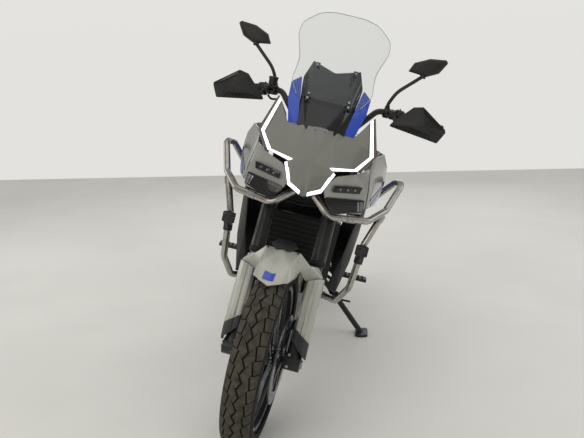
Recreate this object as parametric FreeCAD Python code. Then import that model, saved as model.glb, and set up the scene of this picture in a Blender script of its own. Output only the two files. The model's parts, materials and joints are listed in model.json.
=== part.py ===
"""Adventure motorcycle, parked on its side stand.

Every piece is modelled upright in the bike frame, in millimetres: X to the rider's left, Y to the rear, Z up,
with the front axle above the origin. The steered pieces are then turned to where the bars rest, and the whole
machine is laid over on its side stand so that both tyres and the stand's foot touch the floor.
"""

import FreeCAD
import Part

import math
import os

Vec = FreeCAD.Vector

# wheels and stance
wheelbase = 1510.0
front_tyre_radius = 330.0
front_tyre_width = 110.0
front_bead_radius = 243.0
rear_tyre_radius = 321.0
rear_tyre_width = 150.0
rear_bead_radius = 218.0
tyre_wall = 9.0
rim_wall = 5.0
rim_lip = 9.0
well_depth = 14.0
seat_width = 12.0
well_slope = 21.0
front_rim_half = 37.0
rear_rim_half = 56.0
spoke_radius = 2.2
spokes_a_side = 16
axle_radius = 10.0
axle_fit = 0.05
lean_deg = 15.5

# steering and fork
rake_deg = 25.0
trail = 105.0
steer_rest_deg = -6.0
fork_half_gap = 110.0
fork_outer_radius = 27.0
fork_leg_radius = 22.0
head_tube_radius = 30.0
stem_radius = 15.0
stem_fit = 0.1
clamp_thickness = 30.0

# frame tubes and crash bars
spar_radius = 17.0
subframe_radius = 11.0
guard_radius = 12.5
guard_bend = 45.0
bar_radius = 11.0
grip_radius = 16.0
bar_bend = 40.0
clearance = 0.3

# panels
panel_wall = 4.0
screen_wall = 4.0
strip_width = 13.0

# rear end
pivot_y = 965.0
pivot_z = 400.0
pivot_bolt_radius = 10.0
pivot_tube_radius = 25.0
sprocket_x = 92.0
sprocket_width = 7.0
front_sprocket_radius = 38.0
rear_sprocket_radius = 95.0
front_sprocket_y = 893.0
chain_width = 15.0
chain_thickness = 14.0

# brakes
disc_thickness = 5.0
front_disc_x = 68.0
front_disc_radius = 155.0
rear_disc_x = -92.0
rear_disc_radius = 120.0

# side stand
stand_leg_radius = 13.0
stand_foot_x = 415.0
stand_foot_y = 968.0
foot_length = 95.0
foot_width = 60.0
foot_thickness = 10.0

rear_axle_y = wheelbase
rake = math.radians(rake_deg)
steer_axis = Vec(0, math.sin(rake), math.cos(rake))
steer_foot = Vec(0, -trail, 0)
SIDES = (1, -1)


def vec(p):
    return p if isinstance(p, Vec) else Vec(*p)


def side(p, s):
    """The point p on the left (s = 1) or mirrored to the right (s = -1)."""
    p = vec(p)
    return Vec(p.x * s, p.y, p.z)


def rod(a, b, radius):
    a, b = vec(a), vec(b)
    return Part.makeCylinder(radius, (b - a).Length, a, b - a)


def block(x0, x1, y0, y1, z0, z1):
    return Part.makeBox(x1 - x0, y1 - y0, z1 - z0, Vec(x0, y0, z0))


def rounded(shape, radius, edges=None):
    return shape.makeFillet(radius, edges or shape.Edges)


def spun(profile, y, z):
    """A ring turned round a lateral axis at (y, z), from a closed profile of (x, radius) points."""
    points = [Vec(x, y, z + r) for x, r in profile]
    face = Part.Face(Part.makePolygon(points + points[:1]))
    return face.revolve(Vec(0, y, z), Vec(1, 0, 0), 360)


def bent_wire(points, bend):
    """Straight runs joined by tangent arcs of the given radius, shortened where a run is too short for it."""
    pts = [vec(p) for p in points]
    edges = []
    start = pts[0]
    for before, corner, after in zip(pts, pts[1:], pts[2:]):
        a, b = (before - corner).normalize(), (after - corner).normalize()
        half = a.getAngle(b) / 2
        reach = min(bend / math.tan(half), 0.45 * (before - corner).Length, 0.45 * (after - corner).Length)
        first, last = corner + a * reach, corner + b * reach
        centre_way = (a + b).normalize()
        radius = reach * math.tan(half)
        middle = corner + centre_way * (radius / math.sin(half) - radius)
        edges.append(Part.LineSegment(start, first).toShape())
        edges.append(Part.Arc(first, middle, last).toShape())
        start = last
    edges.append(Part.LineSegment(start, pts[-1]).toShape())
    return Part.Wire(edges)


def pipe(points, radius, bend=guard_bend):
    wire = bent_wire(points, bend)
    first = vec(points[0])
    way = vec(points[1]) - first
    ring = Part.Wire(Part.makeCircle(radius, first, way))
    return wire.makePipeShell([ring], True, True)


def loft(sections, ruled=True):
    wires = [Part.makePolygon([vec(p) for p in s] + [vec(s[0])]) for s in sections]
    return Part.makeLoft(wires, True, ruled)


def facets(corners, faces, depth):
    """A solid panel: flat faces between named corners. Its back is moved by depth, whose x is towards x = 0."""
    front = {k: vec(p) for k, p in corners.items()}
    inward = {k: math.copysign(1, -p.x) if abs(p.x) > 0.01 else 0 for k, p in front.items()}
    rear = {k: p + Vec(inward[k] * depth[0], depth[1], depth[2]) for k, p in front.items()}
    shell, border = [], {}
    for names in faces:
        for points in (front, rear):
            ring = [points[n] for n in names]
            shell.append(Part.Face(Part.makePolygon(ring + ring[:1])))
        for a, b in zip(names, names[1:] + names[:1]):
            key = frozenset((a, b))
            border[key] = None if key in border else (a, b)
    for pair in filter(None, border.values()):
        a, b = pair
        wall = [front[a], front[b], rear[b], rear[a]]
        for ring in (wall[:3], [wall[0], wall[2], wall[3]]):
            shell.append(Part.Face(Part.makePolygon(ring + ring[:1])))
    solid = Part.makeSolid(Part.makeShell(shell))
    if solid.Volume < 0:
        solid.reverse()
    return solid


def largest(shape):
    """The biggest solid of a cut shape."""
    return max(shape.Solids, key=lambda solid: solid.Volume)


def fused(shapes):
    first, rest = shapes[0], shapes[1:]
    return first.fuse(rest).removeSplitter() if rest else first


# wheels

def tyre(radius, width, bead, rim_half, y, z):
    """An open-sided ring: a round crown, walls that come in to the beads, hollow inside."""
    crown = width / 2
    mid = radius - crown
    inner = crown - tyre_wall
    side_out = Vec(crown, y, z + mid)
    bead_out = Vec(rim_half, y, z + bead)
    lip_out = Vec(rim_half, y, z + bead + rim_lip + 1)
    bead_in = Vec(rim_half - tyre_wall, y, z + bead)
    side_in = Vec(inner, y, z + mid)
    top_out, top_in = Vec(0, y, z + radius), Vec(0, y, z + mid + inner)
    half_out = side(side_out, -1)
    half_in = side(side_in, -1)
    edges = [
        Part.LineSegment(bead_out, lip_out).toShape(),
        Part.LineSegment(lip_out, side_out).toShape(),
        Part.Arc(side_out, top_out, half_out).toShape(),
        Part.LineSegment(half_out, side(lip_out, -1)).toShape(),
        Part.LineSegment(side(lip_out, -1), side(bead_out, -1)).toShape(),
        Part.LineSegment(side(bead_out, -1), side(bead_in, -1)).toShape(),
        Part.LineSegment(side(bead_in, -1), half_in).toShape(),
        Part.Arc(half_in, top_in, side_in).toShape(),
        Part.LineSegment(side_in, bead_in).toShape(),
        Part.LineSegment(bead_in, bead_out).toShape(),
    ]
    return Part.Face(Part.Wire(edges)).revolve(Vec(0, y, z), Vec(1, 0, 0), 360)


def rim(half, bead, y, z):
    """A drop-centre channel whose flanges stand outside the tyre's beads."""
    seat = bead - clearance
    lip = half + clearance
    well = seat - well_depth
    edge = seat + rim_lip
    flat, slope = half - well_slope, half - seat_width
    right = [(flat, well), (slope, seat), (lip, seat), (lip, edge), (lip + rim_wall, edge),
             (lip + rim_wall, seat - rim_wall), (slope, seat - rim_wall), (flat, well - rim_wall)]
    return spun(right + [(-x, r) for x, r in reversed(right)], y, z)


def hub(half, flange_x, flange_radius, barrel_radius, y, z):
    bore = axle_radius + axle_fit
    return spun([(-half, bore), (-half, barrel_radius - 6), (-flange_x - 4, barrel_radius - 6),
                 (-flange_x - 4, flange_radius), (-flange_x + 4, flange_radius),
                 (-flange_x + 4, barrel_radius), (flange_x - 4, barrel_radius),
                 (flange_x - 4, flange_radius), (flange_x + 4, flange_radius),
                 (flange_x + 4, barrel_radius - 6), (half, barrel_radius - 6), (half, bore)], y, z)


def spokes(flange_x, bead, rim_half, y, z):
    """Crossed wire spokes: on each flange half lead and half trail, at different widths so that none touch."""
    made = []
    hub_radius = hub_flange_radius - 0.4
    rim_radius = bead - clearance - well_depth - rim_wall + 2
    rim_x = rim_half - well_slope - spoke_radius - 1
    step = 2 * math.pi / spokes_a_side
    for s in SIDES:
        for i in range(spokes_a_side):
            trailing = i % 2
            way = -1 if trailing else 1
            at_hub = i * step + (step / 2 if s < 0 else 0)
            at_rim = at_hub + way * 2.1 * step
            inset = 5.0 if trailing else 0.0
            low = Vec(s * (flange_x + 1.5 - inset / 2), y + hub_radius * math.cos(at_hub),
                      z + hub_radius * math.sin(at_hub))
            top = Vec(s * (rim_x - 2 * inset), y + rim_radius * math.cos(at_rim),
                      z + rim_radius * math.sin(at_rim))
            made.append(rod(low, top, spoke_radius))
    return Part.makeCompound(made)


def brake_disc(x, radius, hub_radius, y, z):
    """A ring on a windowed carrier, in one piece."""
    half = disc_thickness / 2
    plate = spun([(x - half, hub_radius), (x - half, radius), (x + half, radius), (x + half, hub_radius)],
                 y, z)
    windows = 6
    mid, window = (hub_radius + radius * 0.68) / 2 + 6, 19.0
    for i in range(windows):
        turn = 2 * math.pi * i / windows
        centre = Vec(x - 2 * half, y + mid * math.cos(turn), z + mid * math.sin(turn))
        plate = plate.cut(Part.makeCylinder(window, 4 * half, centre, Vec(1, 0, 0)))
    return plate


front_y, front_z = 0.0, front_tyre_radius
rear_z = rear_tyre_radius
front_hub_half, rear_hub_half = 72.0, 98.0
front_flange_x, rear_flange_x = 38.0, 52.0
hub_flange_radius, hub_barrel_radius = 38.0, 31.0
disc_bore = hub_barrel_radius - 8


def front_wheel():
    discs = [brake_disc(s * front_disc_x, front_disc_radius, disc_bore, front_y, front_z) for s in SIDES]
    return {
        "front_tyre": tyre(front_tyre_radius, front_tyre_width, front_bead_radius, front_rim_half, front_y,
                           front_z),
        "front_rim": rim(front_rim_half, front_bead_radius, front_y, front_z),
        "front_hub": fused([hub(front_hub_half, front_flange_x, hub_flange_radius, hub_barrel_radius, front_y,
                                front_z)] + discs),
        "front_spokes": spokes(front_flange_x, front_bead_radius, front_rim_half, front_y, front_z),
    }


def rear_wheel():
    half = sprocket_width / 2
    teeth = rear_sprocket_radius - chain_thickness / 2 - clearance
    sprocket = spun([(sprocket_x - half, disc_bore), (sprocket_x - half, teeth),
                     (sprocket_x + half, teeth), (sprocket_x + half, disc_bore)],
                    rear_axle_y, rear_z)
    disc = brake_disc(rear_disc_x, rear_disc_radius, disc_bore, rear_axle_y, rear_z)
    return {
        "rear_tyre": tyre(rear_tyre_radius, rear_tyre_width, rear_bead_radius, rear_rim_half, rear_axle_y,
                          rear_z),
        "rear_rim": rim(rear_rim_half, rear_bead_radius, rear_axle_y, rear_z),
        "rear_hub": fused([hub(rear_hub_half, rear_flange_x, hub_flange_radius, hub_barrel_radius,
                               rear_axle_y,
                               rear_z), disc, sprocket]),
        "rear_spokes": spokes(rear_flange_x, rear_bead_radius, rear_rim_half, rear_axle_y, rear_z),
    }


# fork: pieces in the fork's own axes, x, back from the leg's centre line and up along it from the axle

fork_offset = (front_tyre_radius * math.tan(rake) - trail) * math.cos(rake)
lug_radius = 29.0
lug_top = 118.0
lug_half_width = 27.0
outer_tube_bottom = 352.0
lower_clamp_up = 566.0
upper_clamp_up = 742.0
bar_rise = 79.0
bar_up = upper_clamp_up + clamp_thickness + bar_rise
bar_back = 50.0
tube_proud = 8.0


def on_fork(shape):
    shape.rotate(Vec(0, 0, 0), Vec(1, 0, 0), -rake_deg)
    shape.translate(Vec(0, front_y, front_z))
    return shape


def fork_point(x, back, up):
    return Vec(x, front_y + back * math.cos(rake) + up * math.sin(rake),
               front_z - back * math.sin(rake) + up * math.cos(rake))


def fork_legs():
    top = upper_clamp_up + clamp_thickness + tube_proud
    tubes = []
    end = fork_half_gap + lug_half_width + 5
    lowers = [rod((-end, 0, 0), (end, 0, 0), axle_radius)]
    for s in SIDES:
        x = s * fork_half_gap
        tube = rod((x, 0, outer_tube_bottom), (x, 0, top), fork_outer_radius)
        inner = rod((x, 0, lug_top), (x, 0, outer_tube_bottom), fork_leg_radius)
        tubes.append(on_fork(tube.fuse(inner)))
        lug = rod((x, 0, 0), (x, 0, lug_top), lug_half_width)
        boss = rod((s * (fork_half_gap - lug_half_width - 6), 0, 0),
                   (s * (fork_half_gap + lug_half_width), 0, 0),
                   lug_radius)
        lowers += [lug, boss]
    return {"fork_tubes": Part.makeCompound(tubes), "fork_lowers": on_fork(fused(lowers))}


def clamp(up, half_width, front, back):
    """A plate across both tubes, narrower ahead of and behind them."""
    waist = half_width * 0.55
    outline = [(-waist, front), (waist, front), (half_width, front * 0.45), (half_width, -front * 0.6),
               (waist * 0.75, back), (-waist * 0.75, back), (-half_width, -front * 0.6),
               (-half_width, front * 0.45)]
    face = Part.Face(Part.makePolygon([Vec(x, y, up) for x, y in outline + outline[:1]]))
    plate = face.extrude(Vec(0, 0, clamp_thickness))
    for s in SIDES:
        x = s * fork_half_gap
        plate = plate.cut(rod((x, 0, up - 1), (x, 0, up + clamp_thickness + 1), fork_outer_radius + axle_fit))
    return plate


def triple_clamps():
    """Both clamps with the stem that joins them and the risers that carry the bar."""
    half = fork_half_gap + fork_outer_radius + 13
    back = fork_offset + head_tube_radius + 4
    front = -fork_outer_radius - 11
    lower = clamp(lower_clamp_up, half, front, back)
    upper = clamp(upper_clamp_up, half, front, back)
    stem = rod((0, fork_offset, lower_clamp_up), (0, fork_offset, upper_clamp_up + clamp_thickness),
               stem_radius)
    pieces = [lower, upper, stem]
    for s in SIDES:
        x = s * 48
        riser = block(x - 15, x + 15, bar_back - 22, bar_back + 22, upper_clamp_up + clamp_thickness,
                      bar_up + 22)
        pieces.append(riser.cut(rod((x - 30, bar_back, bar_up), (x + 30, bar_back, bar_up),
                                    bar_radius + axle_fit)))
    return {"triple_clamps": on_fork(fused(pieces))}


def front_calipers():
    """A caliper straddles each disc behind its leg, on a bracket that bolts to the lug."""
    slot = 5.0
    made = []
    for s in SIDES:
        x = s * front_disc_x
        body = block(min(s * 46, s * 103), max(s * 46, s * 103), 62, 118, 40, 140)
        cut = spun([(x - disc_thickness / 2 - slot, 0),
                    (x - disc_thickness / 2 - slot, front_disc_radius + slot),
                    (x + disc_thickness / 2 + slot, front_disc_radius + slot),
                    (x + disc_thickness / 2 + slot, 0)],
                   0, 0)
        arm = block(min(s * 86, s * 103), max(s * 86, s * 103), 20, 62, 52, 112)
        arm = arm.cut(rod((s * fork_half_gap, 0, 0), (s * fork_half_gap, 0, 200), lug_half_width + axle_fit))
        made.append(on_fork(body.fuse(arm).cut(cut)))
    return {"front_calipers": Part.makeCompound(made)}


# the covers' outline across a leg, as x outward from the leg's centre line and back
cover_outline = [(-20, -36), (-10, -50), (24, -50), (37, -34), (37, 4), (33, 4), (33, -32), (22, -46),
                 (-8, -46), (-16, -36)]
cover_low, cover_high, cover_tip = 101.5, 283.0, 55.0
cover_low_slope, cover_high_slope, cover_tip_slope = -0.73, 0.37, -1.0


def cover_piece(s, low, high):
    """One length of the cover's channel, its ends sloped outward by the given (up, slope) pairs."""
    sections = [[(s * (fork_half_gap + x), b, up + slope * x) for x, b in cover_outline]
                for up, slope in (low, high)]
    return loft(sections)


def front_fender():
    """The beak over the tyre, its two wings and the covers in front of the legs, as one moulding."""
    left = {
        "tip": (0, -148, 641), "nose": (38, -140, 643), "edge": (60, -108, 650), "top": (60, 30, 701),
        "mid": (0, 8, 708), "crease": (44, -62, 688), "low": (66, -30, 634), "notch": (71, 28, 648),
        "shoulder": (101, 50, 658), "out": (147, 85, 618), "inner": (88, 71, 600), "back": (122, 110, 646),
    }
    faces = [("tip", "nose", "crease"), ("tip", "crease", "mid"), ("crease", "top", "mid"),
             ("nose", "edge", "crease"), ("edge", "top", "crease"), ("edge", "low", "notch"),
             ("edge", "notch", "top"), ("top", "notch", "shoulder"), ("shoulder", "notch", "inner"),
             ("shoulder", "inner", "out"), ("shoulder", "out", "back")]
    beak = both_sides(left, faces, (panel_wall, 2, -panel_wall))
    lower_end, upper_end = (cover_low, cover_low_slope), (cover_high, cover_high_slope)
    covers = [on_fork(cover_piece(s, lower_end, upper_end)) for s in SIDES]
    seam = (cover_low - clearance, cover_low_slope)
    tips = [on_fork(cover_piece(s, (cover_tip, cover_tip_slope), seam)) for s in SIDES]
    brackets = []
    for s in SIDES:
        x = s * fork_half_gap
        bracket = block(x - 8, x + 8, -46, 0, 122, 150).cut(rod((x, 0, 0), (x, 0, 200), fork_leg_radius + 6))
        ring = rod((x, 0, 122), (x, 0, 150), fork_leg_radius + 6).cut(rod((x, 0, 0), (x, 0, 200),
                                                                      fork_leg_radius + axle_fit))
        brackets.append(on_fork(bracket.fuse(ring)))
    covers = [c.fuse(b) for c, b in zip(covers, brackets)]
    return {"front_fender": beak, "fork_covers": Part.makeCompound(covers + tips)}


hose_radius = 4.0
hose_bend = 40.0


def brake_hoses():
    """From the front brake's reservoir down behind the right tube, and from the lower clamp to each caliper."""
    union = [(s * 80, 30, lower_clamp_up - hose_radius - clearance) for s in SIDES]
    runs = []
    for s, (x, back, up) in zip(SIDES, union):
        low = [(s * 90, 90, 140 + clearance), (s * 90, 92, 172), (s * 112, 62, 246), (s * 98, 44, 350),
               (s * 94, 44, up - 40), (x, back, up)]
        runs.append([fork_point(*p) for p in low])
    x, back, up = union[0]
    runs.append([fork_point(x, back, up), fork_point(0, 22, up - 14), fork_point(-x, back, up)])
    high = [(-84, 36, up), (-126, 48, up - 12), (-130, 50, up + 60), (-132, 50, upper_clamp_up + 66)]
    start = side(bar_path[1], -1)
    hold = start + (side(bar_path[0], -1) - start).normalize() * perch_at
    perch_foot = hold - Vec(0, 0, perch_radius + hose_radius)
    under_bar = [Vec(-150, 412, 1110), Vec(-186, 436, 1158), Vec(-222, 446, 1150)]
    runs.append([fork_point(*p) for p in high] + under_bar + [perch_foot])
    pieces = [pipe(run, hose_radius, hose_bend) for run in runs]
    return {"brake_hoses": fused(pieces)}


# handlebar, in bike axes with the bars straight ahead

bar_path = [(412, 512, 1166), (186, 446, 1190), (92, 405, 1080), (-92, 405, 1080), (-186, 446, 1190),
            (-412, 512, 1166)]
mirror_at = 32.0
perch_at = 56.0
perch_radius = 19.0
switch_start, switch_end = 66.0, 98.0
grip_end = 6.0


def bar_run(s, start, end):
    """Two points on the bar's outer run, given as distances from its bend and its end."""
    bend, tip = side(bar_path[1], s), side(bar_path[0], s)
    way = (tip - bend).normalize()
    return bend + way * start, tip - way * end


def handlebar():
    a = fork_point(0, bar_back, bar_up)
    path = [Vec(p[0], p[1], p[2]) for p in bar_path]
    for i in (2, 3):
        path[i] = Vec(path[i].x, a.y, a.z)
    bar = pipe(path, bar_radius, bar_bend)
    grips = []
    for s in SIDES:
        low, top = bar_run(s, switch_end + clearance, grip_end)
        grips.append(rod(low, top, grip_radius).cut(rod(low, top, bar_radius + axle_fit)))
    return {"handlebar": bar, "grips": Part.makeCompound(grips)}


# hand guard corners on the left: name, then (x, y, z)
guard_corners = {
    "tip": (441, 392, 1172), "tip_low": (438, 400, 1152), "top": (346, 386, 1238), "top_in": (312, 392, 1230),
    "in": (246, 392, 1160), "low_in": (240, 394, 1146), "low": (420, 388, 1120), "mid": (366, 374, 1170),
}
guard_faces = [("top", "mid", "tip"), ("tip", "mid", "tip_low"), ("tip_low", "mid", "low"),
               ("low", "mid", "low_in"), ("low_in", "mid", "in"), ("in", "mid", "top_in"),
               ("top_in", "mid", "top")]


def hand_guards():
    """Angular shells ahead of the grips, each on a bracket to the bar and a stay to the bar's end."""
    shells = []
    for s in SIDES:
        corners = {k: side(p, s) for k, p in guard_corners.items()}
        shell = facets(corners, guard_faces, (0, panel_wall + 2, 0))
        start, end = side(bar_path[1], s), side(bar_path[0], s)
        way = (end - start).normalize()
        cap = rod(end, end + way * 22, bar_radius + 4)
        stay = rod(end + way * 12, side((434, 398, 1162), s), 7)
        arm = rod(start + way * perch_at + lever_reach, side((262, 396, 1158), s), 7)
        shells.append(fused([shell, cap, stay, arm]))
    return {"hand_guards": Part.makeCompound(shells)}


lever_reach = Vec(0, -46, 6)
mirror_ball = (318, 452, 1340)
# mirror outline on the left, as (x, z)
mirror_outline = [(262, 1350), (278, 1384), (330, 1408), (388, 1414), (396, 1404), (372, 1362), (330, 1342)]
mirror_thickness = 26.0


def mirrors():
    made = []
    for s in SIDES:
        ball = side(mirror_ball, s)
        start = side(bar_path[1], s)
        way = (side(bar_path[0], s) - start).normalize()
        ring_at = start + way * mirror_at
        ring = rod(ring_at - way * 10, ring_at + way * 10, bar_radius + 8)
        knee = side((238, 446, 1268), s)
        stem = pipe([ring_at, ring_at + Vec(0, -4, 34), knee, ball + Vec(0, 0, 8)], 6.5, 30)
        knob = Part.makeSphere(11, ball + Vec(0, 0, 4))
        bore = rod(ring_at - way * 40, ring_at + way * 40, bar_radius + axle_fit)
        carrier = fused([ring, stem, knob]).cut(bore)
        y = ball.y - mirror_thickness / 2
        rows = []
        for depth, grow in ((0, 0.80), (7, 1.0), (mirror_thickness, 0.97)):
            cx, cz = 330, 1378
            rows.append([(s * (cx + (x - cx) * grow), y + depth, cz + (z - cz) * grow)
                         for x, z in mirror_outline])
        head = loft(rows)
        made.append(fused([carrier, head]))
    return {"mirrors": Part.makeCompound(made)}


def controls():
    """Switch blocks, lever perches and levers on the bar, and the brake's reservoir on the right."""
    made = []
    for s in SIDES:
        start = side(bar_path[1], s)
        way = (side(bar_path[0], s) - start).normalize()
        switch = rod(start + way * switch_start, start + way * switch_end, 24)
        hold = start + way * perch_at
        perch = rod(hold - way * 10, start + way * switch_start, perch_radius)
        pivot = hold + lever_reach
        arm = rod(hold, pivot, 8)
        lever = pipe([pivot, pivot + way * 60 + Vec(0, -4, 0), pivot + way * 150 + Vec(0, 8, -4)], 6.5, 60)
        bore = rod(start - way * 5, start + way * 300, bar_radius + axle_fit)
        made.append(fused([switch, perch, arm, lever]).cut(bore))
    hold = side(bar_path[1], -1) + (side(bar_path[0], -1) - side(bar_path[1], -1)).normalize() * perch_at
    pot = rod(hold + Vec(20, -46, 20), hold + Vec(20, -46, 52), 17)
    made[1] = fused([made[1], pot, rod(hold + lever_reach, hold + Vec(20, -46, 26), 6)])
    return {"controls": Part.makeCompound(made)}


# main frame, bike axes

spar_path = [(16, 330, 905), (118, 470, 858), (138, 640, 800), (138, 780, 720), (134, 906, 540),
             (134, 938, 458)]
cradle_path = [(14, 312, 874), (92, 452, 778), (96, 505, 560), (96, 541, 400)]
subframe_path = [(138, 786, 730), (112, 900, 778), (106, 1250, 800), (78, 1560, 850), (50, 1668, 870)]
stay_path = [(134, 900, 560), (118, 1010, 640), (106, 1290, 792)]
plate_thickness = 14.0
plate_x = 127.0


def head_tube():
    low, top = lower_clamp_up + clamp_thickness + 2, upper_clamp_up - 2
    tube = rod((0, fork_offset, low), (0, fork_offset, top), head_tube_radius)
    bore = rod((0, fork_offset, low - 1), (0, fork_offset, top + 1), stem_radius + stem_fit)
    return on_fork(tube), on_fork(bore)


def main_frame():
    """Head tube, two spars over the engine, a down tube each side, and plates round the swingarm's pivot."""
    tube, bore = head_tube()
    pieces = [tube]
    for s in SIDES:
        pieces.append(pipe([side(p, s) for p in spar_path], spar_radius, 60))
        pieces.append(pipe([side(p, s) for p in cradle_path], spar_radius - 3, 60))
        outline = [(926, 486), (958, 482), (1004, 430), (1062, 392), (1066, 362), (1010, 358), (940, 356),
                   (926, 400)]
        face = Part.Face(Part.makePolygon([Vec(s * plate_x, y, z) for y, z in outline + outline[:1]]))
        pieces.append(face.extrude(Vec(s * plate_thickness, 0, 0)))
    pieces.append(rod((-138, 770, 728), (138, 770, 728), spar_radius - 3))
    pieces += [rod((s * 138, 640, 800), (s * 138, 640, 870), 10) for s in SIDES]
    pieces.append(rod((-134, 944, 466), (134, 944, 466), spar_radius - 5))
    pieces.append(rod((-96, 541, 402), (96, 541, 402), spar_radius - 3))
    pin = rod((-200, pivot_y, pivot_z), (200, pivot_y, pivot_z), pivot_bolt_radius + axle_fit)
    pieces.append(stand_bracket())
    return {"main_frame": fused(pieces).cut(bore).cut(pin)}


def subframe():
    """Seat rails and their lower stays, with cross tubes, bolted to the spars."""
    pieces = []
    for s in SIDES:
        pieces.append(pipe([side(p, s) for p in subframe_path], subframe_radius, 60))
        pieces.append(pipe([side(p, s) for p in stay_path], subframe_radius, 60))
    for x, y, z in (subframe_path[2], subframe_path[3], subframe_path[4]):
        pieces.append(rod((-x, y, z), (x, y, z), subframe_radius - 1))
    return {"subframe": fused(pieces)}


arm_x0, arm_x1 = 103.0, 126.7
cross_y0, cross_y1 = 1048.0, 1092.0


def swingarm():
    """Two box arms and the cross member that runs between the chain's upper and lower runs."""
    pieces = []
    outline = [(pivot_y - 24, pivot_z + 20), (pivot_y + 110, pivot_z + 24), (rear_axle_y - 60, rear_z + 28),
               (rear_axle_y + 62, rear_z + 22), (rear_axle_y + 62, rear_z - 24),
               (rear_axle_y - 60, rear_z - 26), (pivot_y + 110, pivot_z - 34), (pivot_y - 24, pivot_z - 22)]
    for s in SIDES:
        pieces.append(slab(outline, s * arm_x0, s * arm_x1))
    tube = rod((-arm_x1, pivot_y, pivot_z), (arm_x1, pivot_y, pivot_z), pivot_tube_radius - 4)
    cross = block(-arm_x1, arm_x1, cross_y0, cross_y1, pivot_z - 40, pivot_z + 8)
    pieces += [cross]
    arm = fused(pieces)
    end = plate_x + plate_thickness + 8
    pin = rod((-end, pivot_y, pivot_z), (end, pivot_y, pivot_z), pivot_bolt_radius)
    axle = rod((-end + 8, rear_axle_y, rear_z), (end - 8, rear_axle_y, rear_z), axle_radius)
    return {"swingarm": fused([arm, tube, axle, pin])}


def chain():
    """The chain's closed loop round both sprockets, its runs tangent to their pitch circles."""
    y0, z0, r0 = front_sprocket_y, pivot_z, front_sprocket_radius
    y1, z1, r1 = rear_axle_y, rear_z, rear_sprocket_radius
    span = math.hypot(y1 - y0, z1 - z0)
    tilt = math.atan2(z1 - z0, y1 - y0)
    flare = math.asin((r1 - r0) / span)

    def loop(grow):
        def at(y, z, r, turn):
            return Vec(0, y + (r + grow) * math.cos(turn), z + (r + grow) * math.sin(turn))
        up, down = tilt + math.pi / 2 + flare, tilt - math.pi / 2 - flare
        a, b = at(y0, z0, r0, up), at(y1, z1, r1, up)
        c, d = at(y1, z1, r1, down), at(y0, z0, r0, down)
        edges = [Part.LineSegment(a, b).toShape(), Part.Arc(b, at(y1, z1, r1, tilt), c).toShape(),
                 Part.LineSegment(c, d).toShape(), Part.Arc(d, at(y0, z0, r0, tilt + math.pi), a).toShape()]
        return Part.Face(Part.Wire(edges))

    half = chain_width / 2
    outer, inner = loop(chain_thickness / 2), loop(-chain_thickness / 2)
    band = outer.extrude(Vec(chain_width, 0, 0)).cut(inner.extrude(Vec(chain_width, 0, 0)))
    band.translate(Vec(sprocket_x - half, 0, 0))
    return {"chain": band}


shock_low, shock_top = (0, 1070, 424), (0, 968, 700)


def shock():
    """A spring round its damper, between the swingarm's cross member and a bracket under the spars."""
    low, top = vec(shock_low), vec(shock_top)
    way = (top - low).normalize()
    body = rod(low, top, 13)
    spring_low, spring_top = low + way * 62, top - way * 50
    coil = rod(spring_low, spring_top, 33)
    for i in range(6):
        at = spring_low + (spring_top - spring_low) * ((i + 0.5) / 6)
        groove = Part.makeTorus(36, 7, at, way)
        coil = coil.cut(groove)
    piggy = rod(low + way * 40, low + way * 60, 30)
    lower_eye = rod(low - Vec(18, 0, 0), low + Vec(18, 0, 0), 17)
    upper_eye = rod(top - Vec(18, 0, 0), top + Vec(18, 0, 0), 17)
    foot = block(-16, 16, low.y - 14, low.y + 14, pivot_z + 8, low.z)
    mount = rod(top, top + Vec(0, -26, 44), 12)
    tie = rod((-110, 942, 744), (110, 942, 744), 12)
    return {"rear_shock": fused([body, coil, piggy, lower_eye, upper_eye, foot, mount, tie])}


# engine

case_left, case_right = 74.0, -132.0
case_outline = [(552, 306), (640, 286), (880, 284), (920, 330), (922, 452), (862, 520), (748, 540),
                (566, 506)]
cylinder_outline = [(574, 506), (742, 538), (716, 612), (560, 580)]
head_outline = [(556, 578), (720, 611), (698, 716), (640, 744), (552, 706)]


def slab(outline, x0, x1):
    face = Part.Face(Part.makePolygon([Vec(x0, y, z) for y, z in outline + outline[:1]]))
    return face.extrude(Vec(x1 - x0, 0, 0))


def engine():
    cases = slab(case_outline, case_right, case_left)
    cylinders = slab(cylinder_outline, -96, 96)
    fins = []
    for i in range(4):
        t = (i + 0.5) / 4
        low = [(y, z) for y, z in cylinder_outline]
        a = [low[0][k] + (low[3][k] - low[0][k]) * t for k in (0, 1)]
        b = [low[1][k] + (low[2][k] - low[1][k]) * t for k in (0, 1)]
        fins.append(slab([(a[0] - 7, a[1] - 4), (b[0] + 7, b[1] - 4), (b[0] + 7, b[1] + 1),
                          (a[0] - 7, a[1] + 1)],
                         -103, 103))
    head = slab(head_outline, -102, 102)
    plugs = [rod((s * 48, 640, 728), (s * 48, 656, 762), 15) for s in SIDES]
    cylinders = fused([cylinders] + fins).cut(cases).cut(head)
    covers = engine_covers() + [front_sprocket()]
    return {"engine_cases": fused([cases] + covers), "cylinders": fused([cylinders, head] + plugs).cut(cases)}


def cover_disc(x0, x1, y, z, radius, shoulder):
    """A round engine cover with a sloped shoulder and a raised boss in its middle."""
    way = 1 if x1 > x0 else -1
    return spun([(x0, 0), (x0, radius), (x1 - way * shoulder, radius), (x1, radius - shoulder),
                 (x1, radius * 0.45), (x1 + way * 7, radius * 0.40), (x1 + way * 7, 0)], y, z)


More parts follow.
